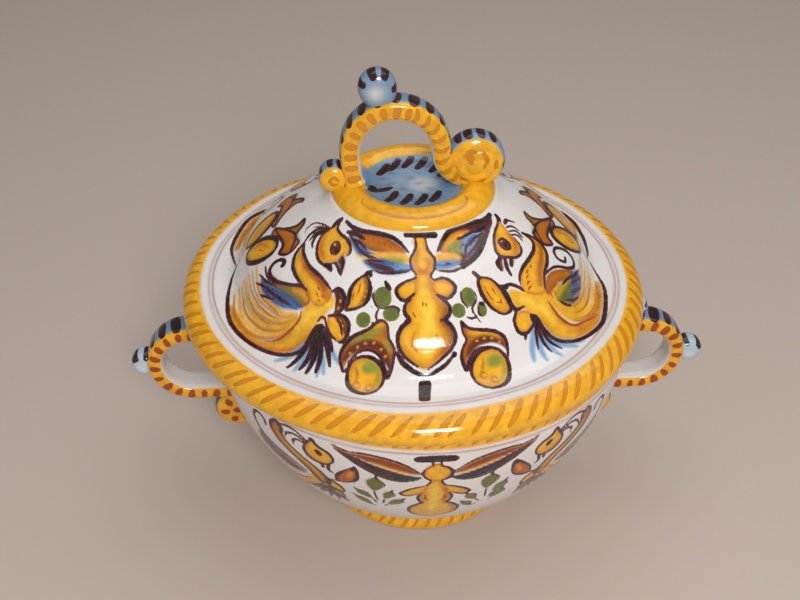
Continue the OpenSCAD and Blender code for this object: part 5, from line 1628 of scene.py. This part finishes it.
def build_floor(colour):
    """A pale paper sweep: flat under the object and rising in a wide curve far behind it."""
    across = np.linspace(-14, 14, 57)
    profile = np.vstack([[[-14, 0], [-2.5, 0]], arc((1.6, 1.2), 1.2, 1.2, -90, 0, 24), [[2.8, 3.5]]])
    x, y = np.meshgrid(across, profile[:, 0])
    z = np.repeat(profile[:, 1], len(across)).reshape(x.shape)
    points = np.stack([x, y, z], -1).reshape(-1, 3)
    rows, columns = x.shape
    corner = (np.arange(rows - 1)[:, None] * columns + np.arange(columns - 1)).ravel()
    quads = np.stack([corner, corner + 1, corner + columns + 1, corner + columns], -1)
    mesh = bpy.data.meshes.new("paper_sweep")
    mesh.from_pydata(points.tolist(), [], quads.tolist())
    mesh.polygons.foreach_set("use_smooth", np.ones(len(quads), bool))
    paper = bpy.data.materials.new("matt_grey_card")
    paper.use_nodes = True
    tree = paper.node_tree
    tree.nodes.clear()
    settings = {"Base Color": (*colour, 1.0), "Roughness": 0.95, "Specular IOR Level": 0.15}
    card = node(tree, "BsdfPrincipled", settings)
    node(tree, "OutputMaterial", [card])
    mesh.materials.append(paper)
    floor = bpy.data.objects.new("paper_sweep", mesh)
    link(floor)


def build_lamp(name, watts, place, size):
    """A soft square lamp at a place, turned to face the middle of the object."""
    lamp = bpy.data.lights.new(name, "AREA")
    lamp.energy = watts
    lamp.size = size
    holder = bpy.data.objects.new(name, lamp)
    holder.location = place
    holder.rotation_euler = (Vector((0, 0, 0.12)) - Vector(place)).to_track_quat("-Z", "Y").to_euler()
    link(holder)


# The camera stands in front and above, turned a little to the right and 37 degrees down
CAMERA_PLACE = (-0.03884, -0.46310, 0.47930)
CAMERA_PITCH = 37.114
CAMERA_TURN = 3.407
CAMERA_ROLL = -0.1219


def build_camera(lens):
    """The camera, with a 36 mm sensor."""
    data = bpy.data.cameras.new("camera")
    data.lens = lens
    data.sensor_width = 36.0
    data.clip_start = 0.01
    camera = bpy.data.objects.new("camera", data)
    level = Euler((math.radians(90 - CAMERA_PITCH), 0, math.radians(-CAMERA_TURN))).to_matrix()
    turned_matrix = level @ Matrix.Rotation(math.radians(CAMERA_ROLL), 3, "Z")
    camera.matrix_world = Matrix.Translation(CAMERA_PLACE) @ turned_matrix.to_4x4()
    link(camera)
    bpy.context.scene.camera = camera


def build_stage(stage):
    """Floor, room light, lamps and camera."""
    scene = bpy.context.scene
    scene.view_settings.view_transform = "Standard"
    world = bpy.data.worlds.new("room")
    scene.world = world
    world.use_nodes = True
    world.node_tree.nodes.clear()
    room = node(world.node_tree, "Background", {"Color": (1.0, 0.98, 0.96, 1.0), "Strength": stage.sky})
    node(world.node_tree, "OutputWorld", [room])
    build_floor(stage.floor)
    build_lamp("key_lamp", stage.key, place=(0.12, -1.02, 0.86), size=0.34)
    build_lamp("top_lamp", stage.fill, place=(0.22, 0.3, 1.5), size=1.4)
    build_lamp("catch_lamp", stage.catch, place=(0.05, -0.95, 0.46), size=0.06)
    build_camera(stage.lens)


# ---- Operators and panel ----

class TUREEN_OT_stage(bpy.types.Operator):
    """Set up the floor, the light and the camera"""
    bl_idname = "tureen.stage"
    bl_label = "Stage"

    def execute(self, context):
        build_stage(context.scene.tureen_stage)
        return {"FINISHED"}


class TUREEN_OT_bowl(bpy.types.Operator):
    """Throw and paint the bowl"""
    bl_idname = "tureen.bowl"
    bl_label = "Bowl"

    def execute(self, context):
        build_bowl(millimetres(context.scene.tureen_pot))
        return {"FINISHED"}


class TUREEN_OT_foot(bpy.types.Operator):
    """Turn and paint the foot ring"""
    bl_idname = "tureen.foot"
    bl_label = "Foot ring"

    def execute(self, context):
        build_foot(millimetres(context.scene.tureen_pot))
        return {"FINISHED"}


class TUREEN_OT_side_handles(bpy.types.Operator):
    """Pull, roll and paint the two side handles"""
    bl_idname = "tureen.side_handles"
    bl_label = "Side handles"

    def execute(self, context):
        s = millimetres(context.scene.tureen_pot)
        build_side_handle(s, "left", -1)
        build_side_handle(s, "right", 1)
        return {"FINISHED"}


class TUREEN_OT_lid(bpy.types.Operator):
    """Throw and paint the lid"""
    bl_idname = "tureen.lid"
    bl_label = "Lid"

    def execute(self, context):
        build_lid(millimetres(context.scene.tureen_lid))
        return {"FINISHED"}


class TUREEN_OT_collar(bpy.types.Operator):
    """Turn and paint the dished collar"""
    bl_idname = "tureen.collar"
    bl_label = "Collar"

    def execute(self, context):
        build_collar(millimetres(context.scene.tureen_lid))
        return {"FINISHED"}


class TUREEN_OT_lid_handle(bpy.types.Operator):
    """Pull, roll and paint the lid's handle"""
    bl_idname = "tureen.lid_handle"
    bl_label = "Lid handle"

    def execute(self, context):
        build_lid_handle(millimetres(context.scene.tureen_lid))
        return {"FINISHED"}


STEPS = (
    TUREEN_OT_stage, TUREEN_OT_bowl, TUREEN_OT_foot, TUREEN_OT_side_handles,
    TUREEN_OT_lid, TUREEN_OT_collar, TUREEN_OT_lid_handle,
)
SETTINGS = {
    "tureen_pot": TureenPotSizes, "tureen_lid": TureenLidSizes,
    "tureen_colours": TureenColours, "tureen_stage": TureenStage,
}


class TUREEN_PT_panel(bpy.types.Panel):
    """Sizes, colours and building steps of the tureen"""
    bl_label = "Painted Tureen"
    bl_idname = "TUREEN_PT_panel"
    bl_space_type = "VIEW_3D"
    bl_region_type = "UI"
    bl_category = "Tureen"

    def draw(self, context):
        for step in STEPS:
            self.layout.operator(step.bl_idname)
        for name, group in SETTINGS.items():
            box = self.layout.box()
            for key in group.__annotations__:
                box.prop(getattr(context.scene, name), key)


def register():
    for kind in (*SETTINGS.values(), *STEPS, TUREEN_PT_panel):
        bpy.utils.register_class(kind)
    for name, group in SETTINGS.items():
        setattr(bpy.types.Scene, name, bpy.props.PointerProperty(type=group))


def unregister():
    for name in SETTINGS:
        delattr(bpy.types.Scene, name)
    for kind in (TUREEN_PT_panel, *reversed(STEPS), *SETTINGS.values()):
        bpy.utils.unregister_class(kind)


def main():
    register()
    for step in STEPS:
        group, name = step.bl_idname.split(".")
        getattr(getattr(bpy.ops, group), name)()
    bpy.context.view_layer.update()


if __name__ == "__main__":
    main()
